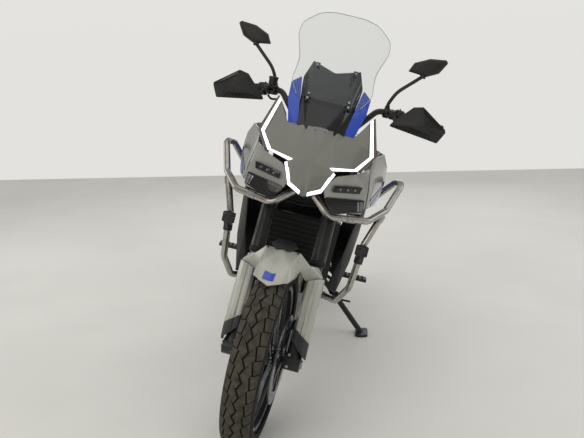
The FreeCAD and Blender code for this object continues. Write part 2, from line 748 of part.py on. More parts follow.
def engine_covers():
    """Clutch cover on the right, alternator and sprocket covers on the left."""
    clutch = cover_disc(case_right, -176, 800, 402, 96, 14)
    pump = cover_disc(case_right, -158, 642, 378, 58, 8)
    alternator = cover_disc(case_left, 140, 668, 392, 84, 14)
    x0 = sprocket_x + chain_width / 2 + 5
    shield = slab([(838, 358), (852, 350), (918, 350), (922, 450), (850, 456), (836, 440)], x0, x0 + 8)
    posts = [rod((case_left, y, z), (x0, y, z), 6) for y, z in ((846, 366), (846, 436))]
    return [clutch, pump, alternator, shield] + posts


def front_sprocket():
    y, z, half = front_sprocket_y, pivot_z, sprocket_width / 2
    teeth = rod((sprocket_x - half, y, z), (sprocket_x + half, y, z),
                front_sprocket_radius - chain_thickness / 2
                - clearance)
    return teeth.fuse(rod((case_left, y, z), (sprocket_x + half + 8, y, z), 12))


header_radius = 19.0
header_path = [(48, 548, 640), (48, 496, 622), (50, 486, 470), (52, 494, 330), (30, 560, 256), (0, 700, 256)]
link_path = [(0, 700, 256), (-10, 900, 256), (-100, 1010, 262), (-186, 1110, 300), (-196, 1240, 370)]
silencer_low, silencer_top = (-198, 1240, 372), (-214, 1600, 548)


def exhaust():
    """Two header pipes down past the radiator and under the cases, one link pipe, and the silencer."""
    pieces = [pipe([side(p, s) for p in header_path], header_radius, 60) for s in SIDES]
    pieces.append(pipe(link_path, header_radius + 3, 90))
    low, top = vec(silencer_low), vec(silencer_top)
    way = (top - low).normalize()

    def ring(at, w, h):
        centre = low + way * at
        up = Vec(1, 0, 0).cross(way).normalize()
        up = up if up.z > 0 else up * -1
        across = Vec(1, 0, 0)
        corners = [(-w, -h * 0.6), (-w * 0.6, -h), (w * 0.6, -h), (w, -h * 0.6), (w, h * 0.6), (w * 0.6, h),
                   (-w * 0.6, h), (-w, h * 0.6)]
        return [centre + across * a + up * b for a, b in corners]

    length = (top - low).Length
    can = loft([ring(-20, 26, 26), ring(40, 44, 56), ring(length - 60, 48, 62), ring(length, 34, 44)])
    tail = rod(top - way * 1, top + way * 16, 24).cut(rod(top - way * 1, top + way * 20, 19))
    can = can.cut(rod(top - way * 30, top + way * 20, 19))
    return {"exhaust": fused(pieces + [can, tail])}


# fairing, bike axes: left-side corners as name, then (x, y, z)
sweep_back = -98.0
plate_back = 12.0
beam_inset = 44.0
mask_corners = {
    "tip": (172, 320, 1168), "side": (201, 215, 1053), "low": (158, 148, 1004), "inner": (75, 110, 992),
    "upper": (120, 250, 1097), "notch": (55, 220, 1092), "chin": (57, 60, 918), "point": (13, 40, 900),
    "beak": (0, 38, 893), "ridge": (0, 228, 1108), "brow": (0, 118, 1002),
}
mask_faces = [("tip", "side", "upper"), ("side", "low", "upper"), ("low", "inner", "upper"),
              ("inner", "notch", "upper"), ("inner", "brow", "notch"), ("brow", "ridge", "notch"),
              ("inner", "chin", "brow"), ("chin", "point", "brow"), ("point", "beak", "brow")]
pod_corners = {
    "in_top": (94, 116, 972), "out_top": (160, 152, 990), "side_top": (200, 186, 1012),
    "side": (212, 176, 930), "side_low": (216, 176, 880), "out_low": (208, 160, 858),
    "in_low": (106, 120, 845), "in_mid": (76, 112, 884), "in": (62, 84, 930),
}
pod_faces = [("in", "in_mid", "in_top"), ("in_top", "in_mid", "out_top"), ("in_mid", "side", "out_top"),
             ("out_top", "side", "side_top"), ("in_mid", "in_low", "side"), ("in_low", "out_low", "side_low"),
             ("in_low", "side_low", "side")]
lamp_corners = {
    "a": (86, 113, 884), "b": (202, 163, 896), "c": (207, 164, 866), "d": (112, 116, 847),
}
upper_lamp_corners = {
    "a": (103, 114, 938), "b": (101, 114, 922), "c": (181, 150, 930), "d": (184, 152, 946),
}
# side panels: rows from the nose backwards, each from top to bottom
flank_rows = [
    [(204, 226, 1046), (203, 196, 1006), (218, 190, 930), (221, 190, 872)],
    [(248, 350, 1055), (272, 385, 1008), (280, 400, 942), (262, 345, 862)],
    [(226, 520, 1046), (252, 560, 990), (256, 580, 920), (238, 540, 838)],
    [(190, 640, 1010), (208, 700, 950), (208, 700, 880), (196, 640, 812)],
]
# black covers under them, beside the radiator
shroud_rows = [
    [(222, 300, 856), (236, 400, 838), (232, 520, 828), (196, 640, 808)],
    [(206, 330, 760), (234, 415, 720), (228, 520, 730), (180, 620, 740)],
    [(196, 372, 640), (228, 425, 600), (216, 520, 610), (166, 600, 680)],
    [(168, 430, 478), (206, 450, 452), (190, 530, 470), (150, 560, 600)],
]


def grid_corners(rows, s=1):
    corners, faces = {}, []
    for i, row in enumerate(rows):
        for j, p in enumerate(row):
            corners[(i, j)] = side(p, s)
    for i in range(len(rows) - 1):
        for j in range(len(rows[0]) - 1):
            faces.append(((i, j), (i + 1, j), (i + 1, j + 1)))
            faces.append(((i, j), (i + 1, j + 1), (i, j + 1)))
    return corners, faces


def both_sides(corners, faces, depth):
    """One panel across the middle: the left-side corners and their mirror images share those at x = 0."""
    every, out = dict(corners), list(faces)
    for name, p in corners.items():
        if p[0]:
            every[name + "_r"] = (-p[0], p[1], p[2])
    for names in faces:
        out.append(tuple(n + "_r" if corners[n][0] else n for n in names)[::-1])
    return facets(every, out, depth)


def pair_of(corners, faces, depth):
    """The same panel on each side, as separate solids."""
    made = []
    for s in SIDES:
        made.append(facets({k: side(p, s) for k, p in corners.items()}, faces, depth))
    return made


def sweep_zone():
    """The space that the fork turns in, behind the nose: nothing fixed reaches into it."""
    return on_fork(block(-156, 156, sweep_back - plate_back, 200, 300, 830))


def nose_frame():
    """A beam between the fork tubes carries a sloping plate, which holds lamps, mask, screens and dash."""
    low, top = lower_clamp_up + clamp_thickness, upper_clamp_up
    beam = block(-32, 32, sweep_back, fork_offset - head_tube_radius + 6, low + beam_inset,
                 top - beam_inset + 2)
    plate = block(-140, 140, sweep_back - plate_back, sweep_back, low - 4, top + beam_inset - 2)
    tube = rod((0, fork_offset, low), (0, fork_offset, top), head_tube_radius)
    frame = on_fork(beam.cut(tube).fuse(plate))
    arms = []
    for s in SIDES:
        arms.append(pipe([(s * 60, 226, 1057), (s * 60, 262, 1110), (s * 60, 298, 1152),
                          (s * 60, 383, 1205)], 8, 60))
    dash_bar = rod((-60, 383, 1205), (60, 383, 1205), 8)
    return fused([frame] + arms + [dash_bar])


def fairing():
    zone = sweep_zone()
    mask = both_sides(mask_corners, mask_faces, (0, 60, -8)).cut(zone)
    frame = nose_frame().cut(mask)
    lamps = [p.cut(frame) for p in pair_of(lamp_corners, [("a", "b", "c"), ("a", "c", "d")], (0, 34, 0))]
    small = [p.cut(frame) for p in pair_of(upper_lamp_corners, [("a", "b", "c"), ("a", "c", "d")],
                                           (0, 26, 0))]
    pods = []
    for pod, lamp, strip in zip(pair_of(pod_corners, pod_faces, (0, 74, 0)), lamps, small):
        pods.append(pod.cut(zone).cut(mask).cut(lamp).cut(strip))
    corners, faces = grid_corners(flank_rows)
    housings = Part.makeCompound(pods)
    flanks = [p.cut(mask).cut(housings) for p in pair_of(corners, faces, (4, 3, 0))]
    corners, faces = grid_corners(shroud_rows)
    shrouds = pair_of(corners, faces, (4, 2, 0))
    return {"nose_mask": mask, "nose_frame": frame, "lamp_housings": housings,
            "headlamps": Part.makeCompound(lamps + small),
            "side_panels": Part.makeCompound(flanks), "radiator_shrouds": Part.makeCompound(shrouds)}


# light strips on the mask's edge, left side, as runs of corners
strip_runs = [["tip", "side", "low", "inner"], ["inner", "chin", "point"]]


def light_strips():
    """Raised light guides that follow the mask's outline, in two runs a side."""
    made = []
    for s in SIDES:
        for run in strip_runs:
            points = [vec(mask_corners[n]) for n in run]
            if run[0] == "inner":
                points[0] = points[0] + Vec(12, -2, -12)
            middle = vec(mask_corners["brow"]) + Vec(0, 40, 20)
            inner = [p + (middle - p).normalize() * strip_width for p in points]
            corners, faces = {}, []
            for i, (a, b) in enumerate(zip(points, inner)):
                corners[(i, 0)], corners[(i, 1)] = side(a, s), side(b, s)
                if i:
                    faces.append(((i - 1, 0), (i, 0), (i, 1)))
                    faces.append(((i - 1, 0), (i, 1), (i - 1, 1)))
            strip = facets(corners, faces, (0, 16, -2))
            strip.translate(Vec(0, -5, 1))
            made.append(strip)
    return made


def pane(rows, columns, depth):
    """A pane bowed forward in the middle, from rows of (z, y at the edge, half width, bow)."""
    corners, faces = {}, []
    for i, (z, y, half, bow) in enumerate(rows):
        for j, f in enumerate(columns):
            corners[(i, j)] = (half * f, y - bow * (1 - f * f), z)
    for i in range(len(rows) - 1):
        for j in range(len(columns) - 1):
            faces.append(((i, j), (i + 1, j), (i + 1, j + 1)))
            faces.append(((i, j), (i + 1, j + 1), (i, j + 1)))
    return facets(corners, faces, depth)


# clear windscreen rows, from the bottom: z, y at the edge, half width, bow
screen_rows = [
    (1196, 296, 118, 32), (1240, 324, 148, 42), (1318, 398, 142, 46), (1405, 460, 174, 50),
    (1448, 486, 168, 44), (1494, 508, 112, 26), (1506, 510, 58, 14),
]
screen_columns = (-1, -0.6, -0.25, 0.25, 0.6, 1)
inner_screen_corners = {
    "top": (80, 358, 1290), "side": (112, 368, 1260), "low": (86, 234, 1096), "notch": (55, 221, 1093),
    "ridge": (0, 229, 1109), "crown": (0, 346, 1296),
}
inner_screen_faces = [("low", "notch", "side"), ("notch", "top", "side"), ("notch", "ridge", "top"),
                      ("ridge", "crown", "top")]
blue_corners = {
    "low_in": (83, 236, 1097), "low_out": (120, 250, 1098), "mid_out": (143, 306, 1175),
    "top_out": (146, 330, 1232), "top_in": (115, 346, 1258),
}
blue_faces = [("low_in", "low_out", "mid_out"), ("low_in", "mid_out", "top_in"),
              ("mid_out", "top_out", "top_in")]


def screens():
    clear = pane(screen_rows, screen_columns, (0, screen_wall, -1))
    inner = both_sides(inner_screen_corners, inner_screen_faces, (0, panel_wall, -1))
    blue = pair_of(blue_corners, blue_faces, (0, panel_wall + 2, -2))
    blue = [b.cut(inner) for b in blue]
    stays = []
    for s in SIDES:
        low = [(s * (74 + dx), 288 + dy, 1180 + dz)
               for dx, dy, dz in ((-9, 0, 0), (9, 0, 0), (9, -16, 0), (-9, -16, 0))]
        top = [(s * (70 + dx), 388 + dy, 1318 + dz)
               for dx, dy, dz in ((-8, 0, 0), (8, 0, 0), (8, -14, 0), (-8, -14, 0))]
        stays.append(largest(loft([low, top]).cut(inner).cut(clear)))
    return {"windscreen": clear, "inner_screen": Part.makeCompound([inner] + stays),
            "blue_screen_panels": Part.makeCompound(blue)}


def dash():
    """The instrument panel, tilted back behind the inner screen, on the nose frame's cross bar."""
    panel = rounded(block(-86, 86, -9, 9, -46, 46), 5)
    panel.rotate(Vec(0, 0, 0), Vec(1, 0, 0), -28)
    panel.translate(Vec(0, 386, 1218))
    return panel


# tank sections from front to rear: y, bottom z, side z, shoulder z, top z, half widths at bottom, side and top
tank_top = 1100.0
tank_rows = [
    (462, 905, 960, 1010, 1052, 60, 104, 46),
    (560, 842, 905, 1040, tank_top, 84, 178, 82),
    (700, 812, 880, 1030, tank_top, 88, 186, 92),
    (812, 812, 872, 970, 1036, 80, 156, 72),
    (866, 812, 850, 892, 930, 70, 118, 60),
]


def tank():
    sections = []
    for y, low, mid, high, top, w0, w1, w2 in tank_rows:
        half = [(w0, low), (w1, mid), (w1 - 8, high), (w2, top)]
        sections.append([(x, y, z) for x, z in half] + [(-x, y, z) for x, z in reversed(half)])
    body = loft(sections)
    cap = rod((0, 640, tank_top), (0, 640, tank_top + 9), 34)
    return {"fuel_tank": fused([body, cap])}


# seat sections: y, edge z, top z, half widths at bottom, edge and top; the bottom rests on the seat rails
rider_seat_rows = [(870, 868, 896, 66, 86, 52), (960, 848, 868, 112, 124, 84),
                   (1120, 846, 862, 110, 152, 112), (1216, 862, 890, 108, 150, 112),
                   (1246, 890, 922, 108, 138, 100)]
passenger_seat_rows = [(1250, 892, 924, 98, 138, 100), (1400, 892, 922, 96, 138, 104),
                       (1540, 892, 916, 84, 110, 84), (1584, 894, 906, 72, 86, 60)]


def rail_top(y):
    """Height of the seat rails' upper side at y."""
    for (_, y0, z0), (_, y1, z1) in zip(subframe_path[1:], subframe_path[2:]):
        if y <= y1:
            break
    return z0 + (z1 - z0) * (y - y0) / (y1 - y0) + subframe_radius


def cushion(rows):
    sections = []
    for y, mid, top, w0, w1, w2 in rows:
        half = [(w0, rail_top(y) + clearance), (w1, mid), (w2, top)]
        sections.append([(x, y, z) for x, z in half] + [(-x, y, z) for x, z in reversed(half)])
    return loft(sections)


# tail side covers: rows from front to rear, each from top to bottom
tail_rows = [
    [(150, 872, 838), (152, 890, 800), (134, 920, 752)],
    [(150, 1100, 826), (156, 1110, 792), (132, 1120, 744)],
    [(140, 1300, 834), (146, 1320, 804), (122, 1330, 764)],
    [(104, 1560, 866), (112, 1580, 838), (98, 1570, 806)],
    [(62, 1672, 900), (66, 1690, 870), (60, 1664, 846)],
]


def tail():
    corners, faces = grid_corners(tail_rows)
    covers = []
    for s, cover in zip(SIDES, pair_of(corners, faces, (5, 0, 0))):
        bosses = [rod((s * (x - 45), y, z), (s * (x - 3), y, z), 8)
                  for x, y, z in ((151, 1100, 792), (108, 1570, 848))]
        covers.append(fused([cover] + bosses))
    lamp = loft([[(x, 1676, z)
                  for x, z in ((-50, 852), (50, 852), (56, 880), (46, 896), (-46, 896), (-56, 880))],
                 [(x, 1700, z) for x, z in ((-42, 858), (42, 858), (48, 880), (40, 892), (-40, 892),
                                            (-48, 880))]])
    floor = loft([[(-94, 1180, 766), (94, 1180, 766), (94, 1180, 778), (-94, 1180, 778)],
                  [(-58, 1676, 838), (58, 1676, 838), (58, 1676, 852), (-58, 1676, 852)]])
    posts = [rod((x * s, y, z), (x * s, y, z + 30), 8) for s in SIDES
             for x, y, z in ((88, 1290, 784), (60, 1600, 834))]
    floor = fused([floor] + posts)
    return {"tail_covers": Part.makeCompound(covers), "tail_lamp": lamp, "undertail": floor}


rack_z = 928.0
rack_thickness = 8.0
rack_y0, rack_y1 = 1592.0, 1762.0
rack_half = 104.0


def rack():
    """A slotted plate behind the seat, with grab rails that run forward beside the passenger."""
    plate = block(-rack_half, rack_half, rack_y0, rack_y1, rack_z - rack_thickness, rack_z)
    plate = rounded(plate, 24, [e for e in plate.Edges if abs(e.BoundBox.ZLength - rack_thickness) < 0.01
                                and e.BoundBox.XLength < 0.01])
    for i in range(3):
        y = rack_y0 + 42 + i * 44
        slot = block(-62, 62, y - 9, y + 9, rack_z - 20, rack_z + 5)
        plate = plate.cut(slot)
    pieces = [plate]
    for s in SIDES:
        rail = [(s * 106, 1330, 816), (s * 160, 1344, 830), (s * 172, 1440, 902),
                (s * 128, 1640, rack_z - 14), (s * 70, 1700, rack_z - 14)]
        pieces.append(pipe(rail, 11, 50))
        for y in (1620, 1664):
            x = s * (52 if y > 1640 else 62)
            pieces.append(rod((x, y, 868), (x, y, rack_z - 4), 9))
    return fused(pieces)


def plate_carrier():
    """The arm behind the rear wheel with its blank plate, lamp and indicators."""
    arm = loft([[(-46, 1640, 846), (46, 1640, 846), (46, 1672, 850), (-46, 1672, 850)],
                [(-40, 1752, 640), (40, 1752, 640), (40, 1770, 646), (-40, 1770, 646)]])
    holder = loft([[(-92, 1752, 640), (92, 1752, 640), (92, 1770, 646), (-92, 1770, 646)],
                   [(-92, 1800, 500), (92, 1800, 500), (92, 1806, 502), (-92, 1806, 502)]])
    plate = block(-90, 90, 0, 2, -66, 66)
    plate.rotate(Vec(0, 0, 0), Vec(1, 0, 0), math.degrees(math.atan2(1806 - 1770, 646 - 502)))
    plate.translate(Vec(0, 1788, 572))
    stalks, lamps = [], []
    for s in SIDES:
        stalks.append(rod((s * 30, 1736, 690), (s * 128, 1742, 690), 7))
        lamps.append(loft([[(s * 128, y, z) for y, z in ((1722, 676), (1758, 676), (1758, 704), (1722, 704))],
                           [(s * 192, y, z) for y, z in ((1734, 682), (1754, 682), (1754, 698),
                                                         (1734, 698))]]))
    carrier = fused([arm, holder] + stalks)
    return {"plate_carrier": carrier.fuse(plate), "rear_indicators": Part.makeCompound(lamps)}


# crash bars, left side
upper_bar_path = [(36, 146, 884), (100, 122, 830), (240, 200, 830), (300, 300, 862), (342, 402, 956),
                  (322, 452, 950), (238, 620, 800), (150, 640, 792)]
guard_path = [(292, 300, 845), (254, 284, 720), (250, 280, 646), (244, 300, 540), (212, 380, 448),
              (112, 520, 420)]


def crash_bars():
    nodes = {}
    for s, name in zip(SIDES, ("left", "right")):
        upper = pipe([side(p, s) for p in upper_bar_path], guard_radius, guard_bend)
        lower = pipe([side(p, s) for p in guard_path], guard_radius, guard_bend)
        nodes[name + "_crash_bars"] = upper.fuse(lower)
    return nodes


fog_at = (250, 250, 708)


def fog_lamps():
    """Square lamps on clamps round the guards, with a cross of thicker bars over the lens."""
    made = []
    for s in SIDES:
        c = side(fog_at, s)
        body = block(c.x - 25, c.x + 25, c.y - 14, c.y + 18, c.z - 22, c.z + 22)
        body = rounded(body, 6, [e for e in body.Edges if abs(e.BoundBox.YLength - 32) < 0.01])
        grille = [block(c.x - 24, c.x + 24, c.y - 18, c.y - 14, c.z + dz - 1.5, c.z + dz + 1.5)
                  for dz in (-15, -5, 5, 15)]
        grille.append(block(c.x - 3, c.x + 3, c.y - 18, c.y - 14, c.z - 20, c.z + 20))
        foot = rod(c + Vec(0, 4, -20), c + Vec(0, 22, -52), 8)
        made.append(fused([body, foot] + grille))
    return made


peg_length = 92.0
peg_at = (262, 915, 392)


def footpegs():
    """Rider's pegs on hangers from the pivot plates, and the passenger's on stays from the seat rails."""
    made = []
    inner = plate_x + plate_thickness
    for s in SIDES:
        px, py, pz = peg_at
        hanger = loft([[(s * inner, y, z) for y, z in ((944, 402), (990, 398), (990, 424), (944, 430))],
                       [(s * (px - 62), y, z) for y, z in ((896, 380), (934, 380), (934, 404), (896, 404))]])
        tread = block(min(s * (px - 62), s * (px + peg_length)), max(s * (px - 62), s * (px + peg_length)),
                      py - 22, py + 22, pz - 6, pz + 8)
        made.append(fused([hanger, tread]))
        bracket = loft([[(s * 108, 1150, 716), (s * 108, 1240, 765), (s * 116, 1240, 765),
                         (s * 116, 1150, 716)],
                        [(s * 150, 1240, 512), (s * 150, 1276, 512), (s * 158, 1276, 512),
                         (s * 158, 1240, 512)]])
        rest = block(min(s * 158, s * 236), max(s * 158, s * 236), 1242, 1274, 514, 530)
        made.append(fused([bracket, rest]))
    return {"footpegs": Part.makeCompound(made + pedals())}


def pedals():
    """The gear pedal on the left and the brake pedal on the right, ahead of the pegs."""
    made = []
    for s in SIDES:
        x = s * 198
        start = (s * (plate_x + plate_thickness), 950, 364)
        made.append(pipe([start, (x, 936, 352), (x, 770, 344), (s * 236, 752, 348)], 8, 30))
    return made


def skid_plate():
    """A bash plate under the cases, turned up in front and at its sides."""
    rows = [
        [(118, 452, 420), (96, 446, 420), (0, 440, 420)],
        [(128, 500, 300), (104, 478, 296), (0, 472, 296)],
        [(132, 580, 262), (110, 570, 222), (0, 570, 214)],
        [(132, 880, 262), (110, 880, 222), (0, 880, 214)],
    ]
    posts = [rod((s * 60, y, 219), (s * 60, y, 300), 8) for s in SIDES for y in (620, 860)]
    return fused([both_halves(rows, (0, 4, 4))] + posts)


def both_halves(rows, depth):
    """A panel across the middle from rows of left-side points that end at x = 0."""
    whole = [row + [(-x, y, z) for x, y, z in reversed(row[:-1])] for row in rows]
    corners, faces = grid_corners(whole)
    return facets(corners, faces, depth)


radiator_half, radiator_z0, radiator_z1, radiator_y = 158.0, 528.0, 742.0, 396.0
radiator_depth = 30.0


def radiator():
    """A finned core between two end tanks, with slats across its front."""
    core = block(-radiator_half + 22, radiator_half - 22, radiator_y, radiator_y + radiator_depth,
                 radiator_z0, radiator_z1)
    tanks = [block(min(s * (radiator_half - 22), s * radiator_half),
                   max(s * (radiator_half - 22), s * radiator_half),
                   radiator_y - 3, radiator_y + radiator_depth + 3, radiator_z0 - 6, radiator_z1 + 6)
             for s in SIDES]
    count = 11
    pitch = (radiator_z1 - radiator_z0) / count
    slats = [block(-radiator_half + 22, radiator_half - 22, radiator_y - 5, radiator_y,
                   radiator_z0 + pitch * (i + 0.35), radiator_z0 + pitch * (i + 0.65)) for i in range(count)]
    ears = [block(min(s * 86, s * 100), max(s * 86, s * 100), radiator_y + radiator_depth, 476, 680, 700)
            for s in SIDES]
    return fused([core] + tanks + slats + ears)


hugger_lug_ahead, hugger_lug_up = 324.0, 61.0


def hugger():
    """The inner mudguard over the rear tyre, from the swingarm's cross member."""
    inner, wall, half = rear_tyre_radius + 14, 3.0, 80.0
    ring = spun([(-half, inner - 40), (-half - wall, inner - 40), (-half - wall, inner + wall),
                 (half + wall, inner + wall), (half + wall, inner - 40), (half, inner - 40), (half, inner),
                 (-half, inner)], rear_axle_y, rear_z)
    wedge = Part.Face(Part.makePolygon([Vec(-200, rear_axle_y, rear_z)] + [
        Vec(-200, rear_axle_y + 600 * math.cos(math.radians(a)), rear_z + 600 * math.sin(math.radians(a)))
        for a in (168, 140, 112)] + [Vec(-200, rear_axle_y, rear_z)])).extrude(Vec(400, 0, 0))
    y = rear_axle_y - hugger_lug_ahead
    z = rear_z + hugger_lug_up
    lugs = [block(min(s * half, s * (arm_x0 + 2)), max(s * half, s * (arm_x0 + 2)), y, y + 20, z, z + 14)
            for s in SIDES]
    return fused([ring.common(wedge)] + lugs)


def rear_caliper():
    x = rear_disc_x
    centre = Vec(x, rear_axle_y - 65, rear_z + 77)
    body = block(x - 26, x + 22, centre.y - 33, centre.y + 33, centre.z - 26, centre.z + 26)
    body.rotate(centre, Vec(1, 0, 0), -20)
    slot = spun([(x - disc_thickness / 2 - 5, 0), (x - disc_thickness / 2 - 5, rear_disc_radius + 5),
                 (x + disc_thickness / 2 + 5, rear_disc_radius + 5), (x + disc_thickness / 2 + 5, 0)],
                rear_axle_y, rear_z)
    foot = block(x - 34, x - 20, centre.y - 40, centre.y + 5, rear_z + 28, centre.z + 2)
    return body.fuse(foot).cut(slot)


# stance: how the upright bike frame lies on the floor

def lowest(centre, axis, radius, crown):
    """Height of the lowest point of a round-crowned tyre whose spin axis is tilted."""
    return centre.z - (radius - crown) * math.sqrt(1 - axis.z ** 2) - crown


def steered(shape):
    shape = shape.copy()
    shape.rotate(steer_foot, steer_axis, steer_rest_deg)
    return shape


def stance():
    """The placement that leans the machine and pitches it until both tyres touch the floor at z = 0."""
    turn = FreeCAD.Rotation(steer_axis, steer_rest_deg)
    front_centre = steer_foot + turn.multVec(Vec(0, front_y, front_z) - steer_foot)
    front_spin = turn.multVec(Vec(1, 0, 0))
    rear_centre, rear_spin = Vec(0, rear_axle_y, rear_z), Vec(1, 0, 0)
    rotation = FreeCAD.Rotation(Vec(0, 1, 0), lean_deg)
    for _ in range(4):
        front = lowest(rotation.multVec(front_centre), rotation.multVec(front_spin), front_tyre_radius,
                       front_tyre_width / 2)
        rear = lowest(rotation.multVec(rear_centre), rotation.multVec(rear_spin), rear_tyre_radius,
                      rear_tyre_width / 2)
        pitch = math.degrees(math.atan((front - rear) / wheelbase))
        rotation = FreeCAD.Rotation(Vec(1, 0, 0), pitch).multiply(rotation)
    return FreeCAD.Placement(Vec(0, 0, -rear), rotation)


pose = stance()
pose_back = pose.inverse()


def from_floor(shape):
    shape.Placement = pose_back.multiply(shape.Placement)
    return shape


# side stand

stand_pivot = Vec(136, 1022, 318)
stand_stow = Vec(0.30, 0.95, -0.06).normalize()
stand_bolt_radius = 8.0
stand_eye = (2.0, 26.0)
foot_top = pose_back.multVec(Vec(stand_foot_x, stand_foot_y, foot_thickness))
stand_way = (foot_top - stand_pivot).normalize()
stand_axis = stand_way.cross(stand_stow).normalize()


def side_stand():
    """The leg, its eye, its tang and the foot, which lies flat on the floor under the leaned machine."""
    pivot, axis, way = stand_pivot, stand_axis, stand_way
    eye = rod(pivot + axis * stand_eye[0], pivot + axis * stand_eye[1], 19)
    middle = axis * (sum(stand_eye) / 2)
    leg = rod(pivot + middle + way * 6, foot_top + way * 6, stand_leg_radius)
    plate = block(-foot_width / 2, foot_width / 2, -foot_length / 2, foot_length / 2, 0, foot_thickness)
    plate = rounded(plate, 18, [e for e in plate.Edges if e.BoundBox.ZLength > foot_thickness - 0.01])
    plate.translate(Vec(stand_foot_x + 6, stand_foot_y - 4, 0))
    tang = rod(pivot + middle + way * 150, pivot + middle + way * 165 + Vec(42, -6, 14), 5)
    floor = from_floor(block(-2000, 2000, -1000, 3000, -300, 0))
    bolt = rod(pivot - axis * 60, pivot + axis * 60, stand_bolt_radius + axle_fit)
    return fused([eye, leg, from_floor(plate), tang]).cut(floor).cut(bolt)


def stand_bracket():
    """The lug on the pivot plate and the bolt that the stand swings on."""
    pivot, axis = stand_pivot, stand_axis
    lug = rod(pivot - axis * 16, pivot, 20)
    bolt = rod(pivot - axis * 16, pivot + axis * (stand_eye[1] + 8), stand_bolt_radius)
    head = rod(pivot + axis * (stand_eye[1] + 2), pivot + axis * (stand_eye[1] + 8), 13)
    y0, y1 = pivot.y - 16, pivot.y + 16
    web = block(arm_x0 + 1, arm_x0 + 14, y0, y1, pivot.z - 18, 362)
    shelf = block(arm_x0 + 1, plate_x + plate_thickness, y0, y1, 358, 366)
    return fused([lug, web, shelf, bolt, head])


# the whole machine, in the bike frame

def steered_nodes():
    nodes = {}
    for make in (fork_legs, triple_clamps, front_calipers, front_fender, handlebar, hand_guards, mirrors,
                 controls,
                 brake_hoses):
        nodes.update(make())
    for piece, carrier in (("hand_guards", "controls"), ("front_fender", "fork_covers")):
        nodes[piece] = nodes[piece].cut(nodes[carrier])
    return nodes


def fixed_nodes():
    nodes = {}
    for make in (main_frame, subframe, swingarm, chain, shock, engine, exhaust, fairing, screens, tank, tail,
                 plate_carrier, crash_bars, footpegs):
        nodes.update(make())
    nodes["light_strips"] = Part.makeCompound([p.cut(nodes["nose_mask"]) for p in light_strips()])
    nodes["dash"] = dash()
    nodes["rider_seat"] = cushion(rider_seat_rows)
    nodes["passenger_seat"] = cushion(passenger_seat_rows)
    nodes["rear_rack"] = rack()
    nodes["skid_plate"] = skid_plate()
    nodes["radiator"] = radiator()
    nodes["hugger"] = hugger()
    nodes["rear_caliper"] = rear_caliper()
    seats = [
        ("main_frame", "engine_cases"), ("main_frame", "fuel_tank"), ("subframe", "main_frame"),
        ("left_crash_bars", "main_frame"), ("right_crash_bars", "main_frame"), ("radiator", "main_frame"),
        ("rear_shock", "swingarm"), ("rear_shock", "main_frame"), ("undertail", "subframe"),
        ("rear_rack", "subframe"), ("tail_covers", "subframe"), ("tail_covers", "rear_rack"),
        ("tail_lamp", "subframe"), ("tail_lamp", "undertail"), ("tail_lamp", "tail_covers"),
        ("footpegs", "subframe"), ("footpegs", "main_frame"), ("radiator_shrouds", "left_crash_bars"),
        ("radiator_shrouds", "right_crash_bars"), ("plate_carrier", "undertail"), ("dash", "nose_frame"),
        ("footpegs", "swingarm"), ("rear_caliper", "swingarm"), ("skid_plate", "engine_cases"),
        ("hugger", "swingarm"), ("tail_covers", "undertail"), ("tail_covers", "footpegs"),
    ]
    for piece, carrier in seats:
        nodes[piece] = nodes[piece].cut(nodes[carrier])
    carrier = nodes.pop("plate_carrier")
    lamps = nodes.pop("rear_indicators").cut(carrier)
    nodes["undertail"] = Part.makeCompound([nodes["undertail"], carrier])
    nodes["tail_lamps"] = Part.makeCompound([nodes.pop("tail_lamp"), lamps])
    bars = fused([nodes["left_crash_bars"], nodes["right_crash_bars"]])
    nodes["fog_lamps"] = Part.makeCompound([p.cut(bars) for p in fog_lamps()])
    return nodes


def machine():
    """Every node by name, in the bike frame with the fork turned to where it rests."""
    front = dict(steered_nodes(), **front_wheel())
    nodes = {name: steered(shape) for name, shape in front.items()}
    nodes.update(rear_wheel())
    nodes.update(fixed_nodes())
    nodes["side_stand"] = side_stand()
    return nodes


def on_floor(nodes):
    """The machine leaned on the floor, its origin under the middle of its outline."""
    placed = {}
    for name, shape in nodes.items():
        shape = shape.copy()
        shape.Placement = pose.multiply(shape.Placement)
        placed[name] = shape
    box = Part.makeCompound(list(placed.values())).optimalBoundingBox(False, False)
    shift = Vec(-box.Center.x, -box.Center.y, 0)
    for shape in placed.values():
        shape.translate(shift)
    return placed, shift


def main():
    os.makedirs("parts", exist_ok=True)
    placed, shift = on_floor(machine())
    for name, shape in placed.items():
        shape.exportStep(os.path.join("parts", name + ".step"))
    print(len(placed), "nodes, shifted by", shift)


main()
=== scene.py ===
"""Adventure motorcycle on its side stand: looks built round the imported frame.

Pieces are modelled upright in millimetres, X to the rider's left, Y to the rear and Z up, with the front axle
above the origin. Each is then laid over with the machine, and the steered ones are turned with the fork.
"""

import json
import math

import bmesh
import bpy
from mathutils import Matrix, Vector

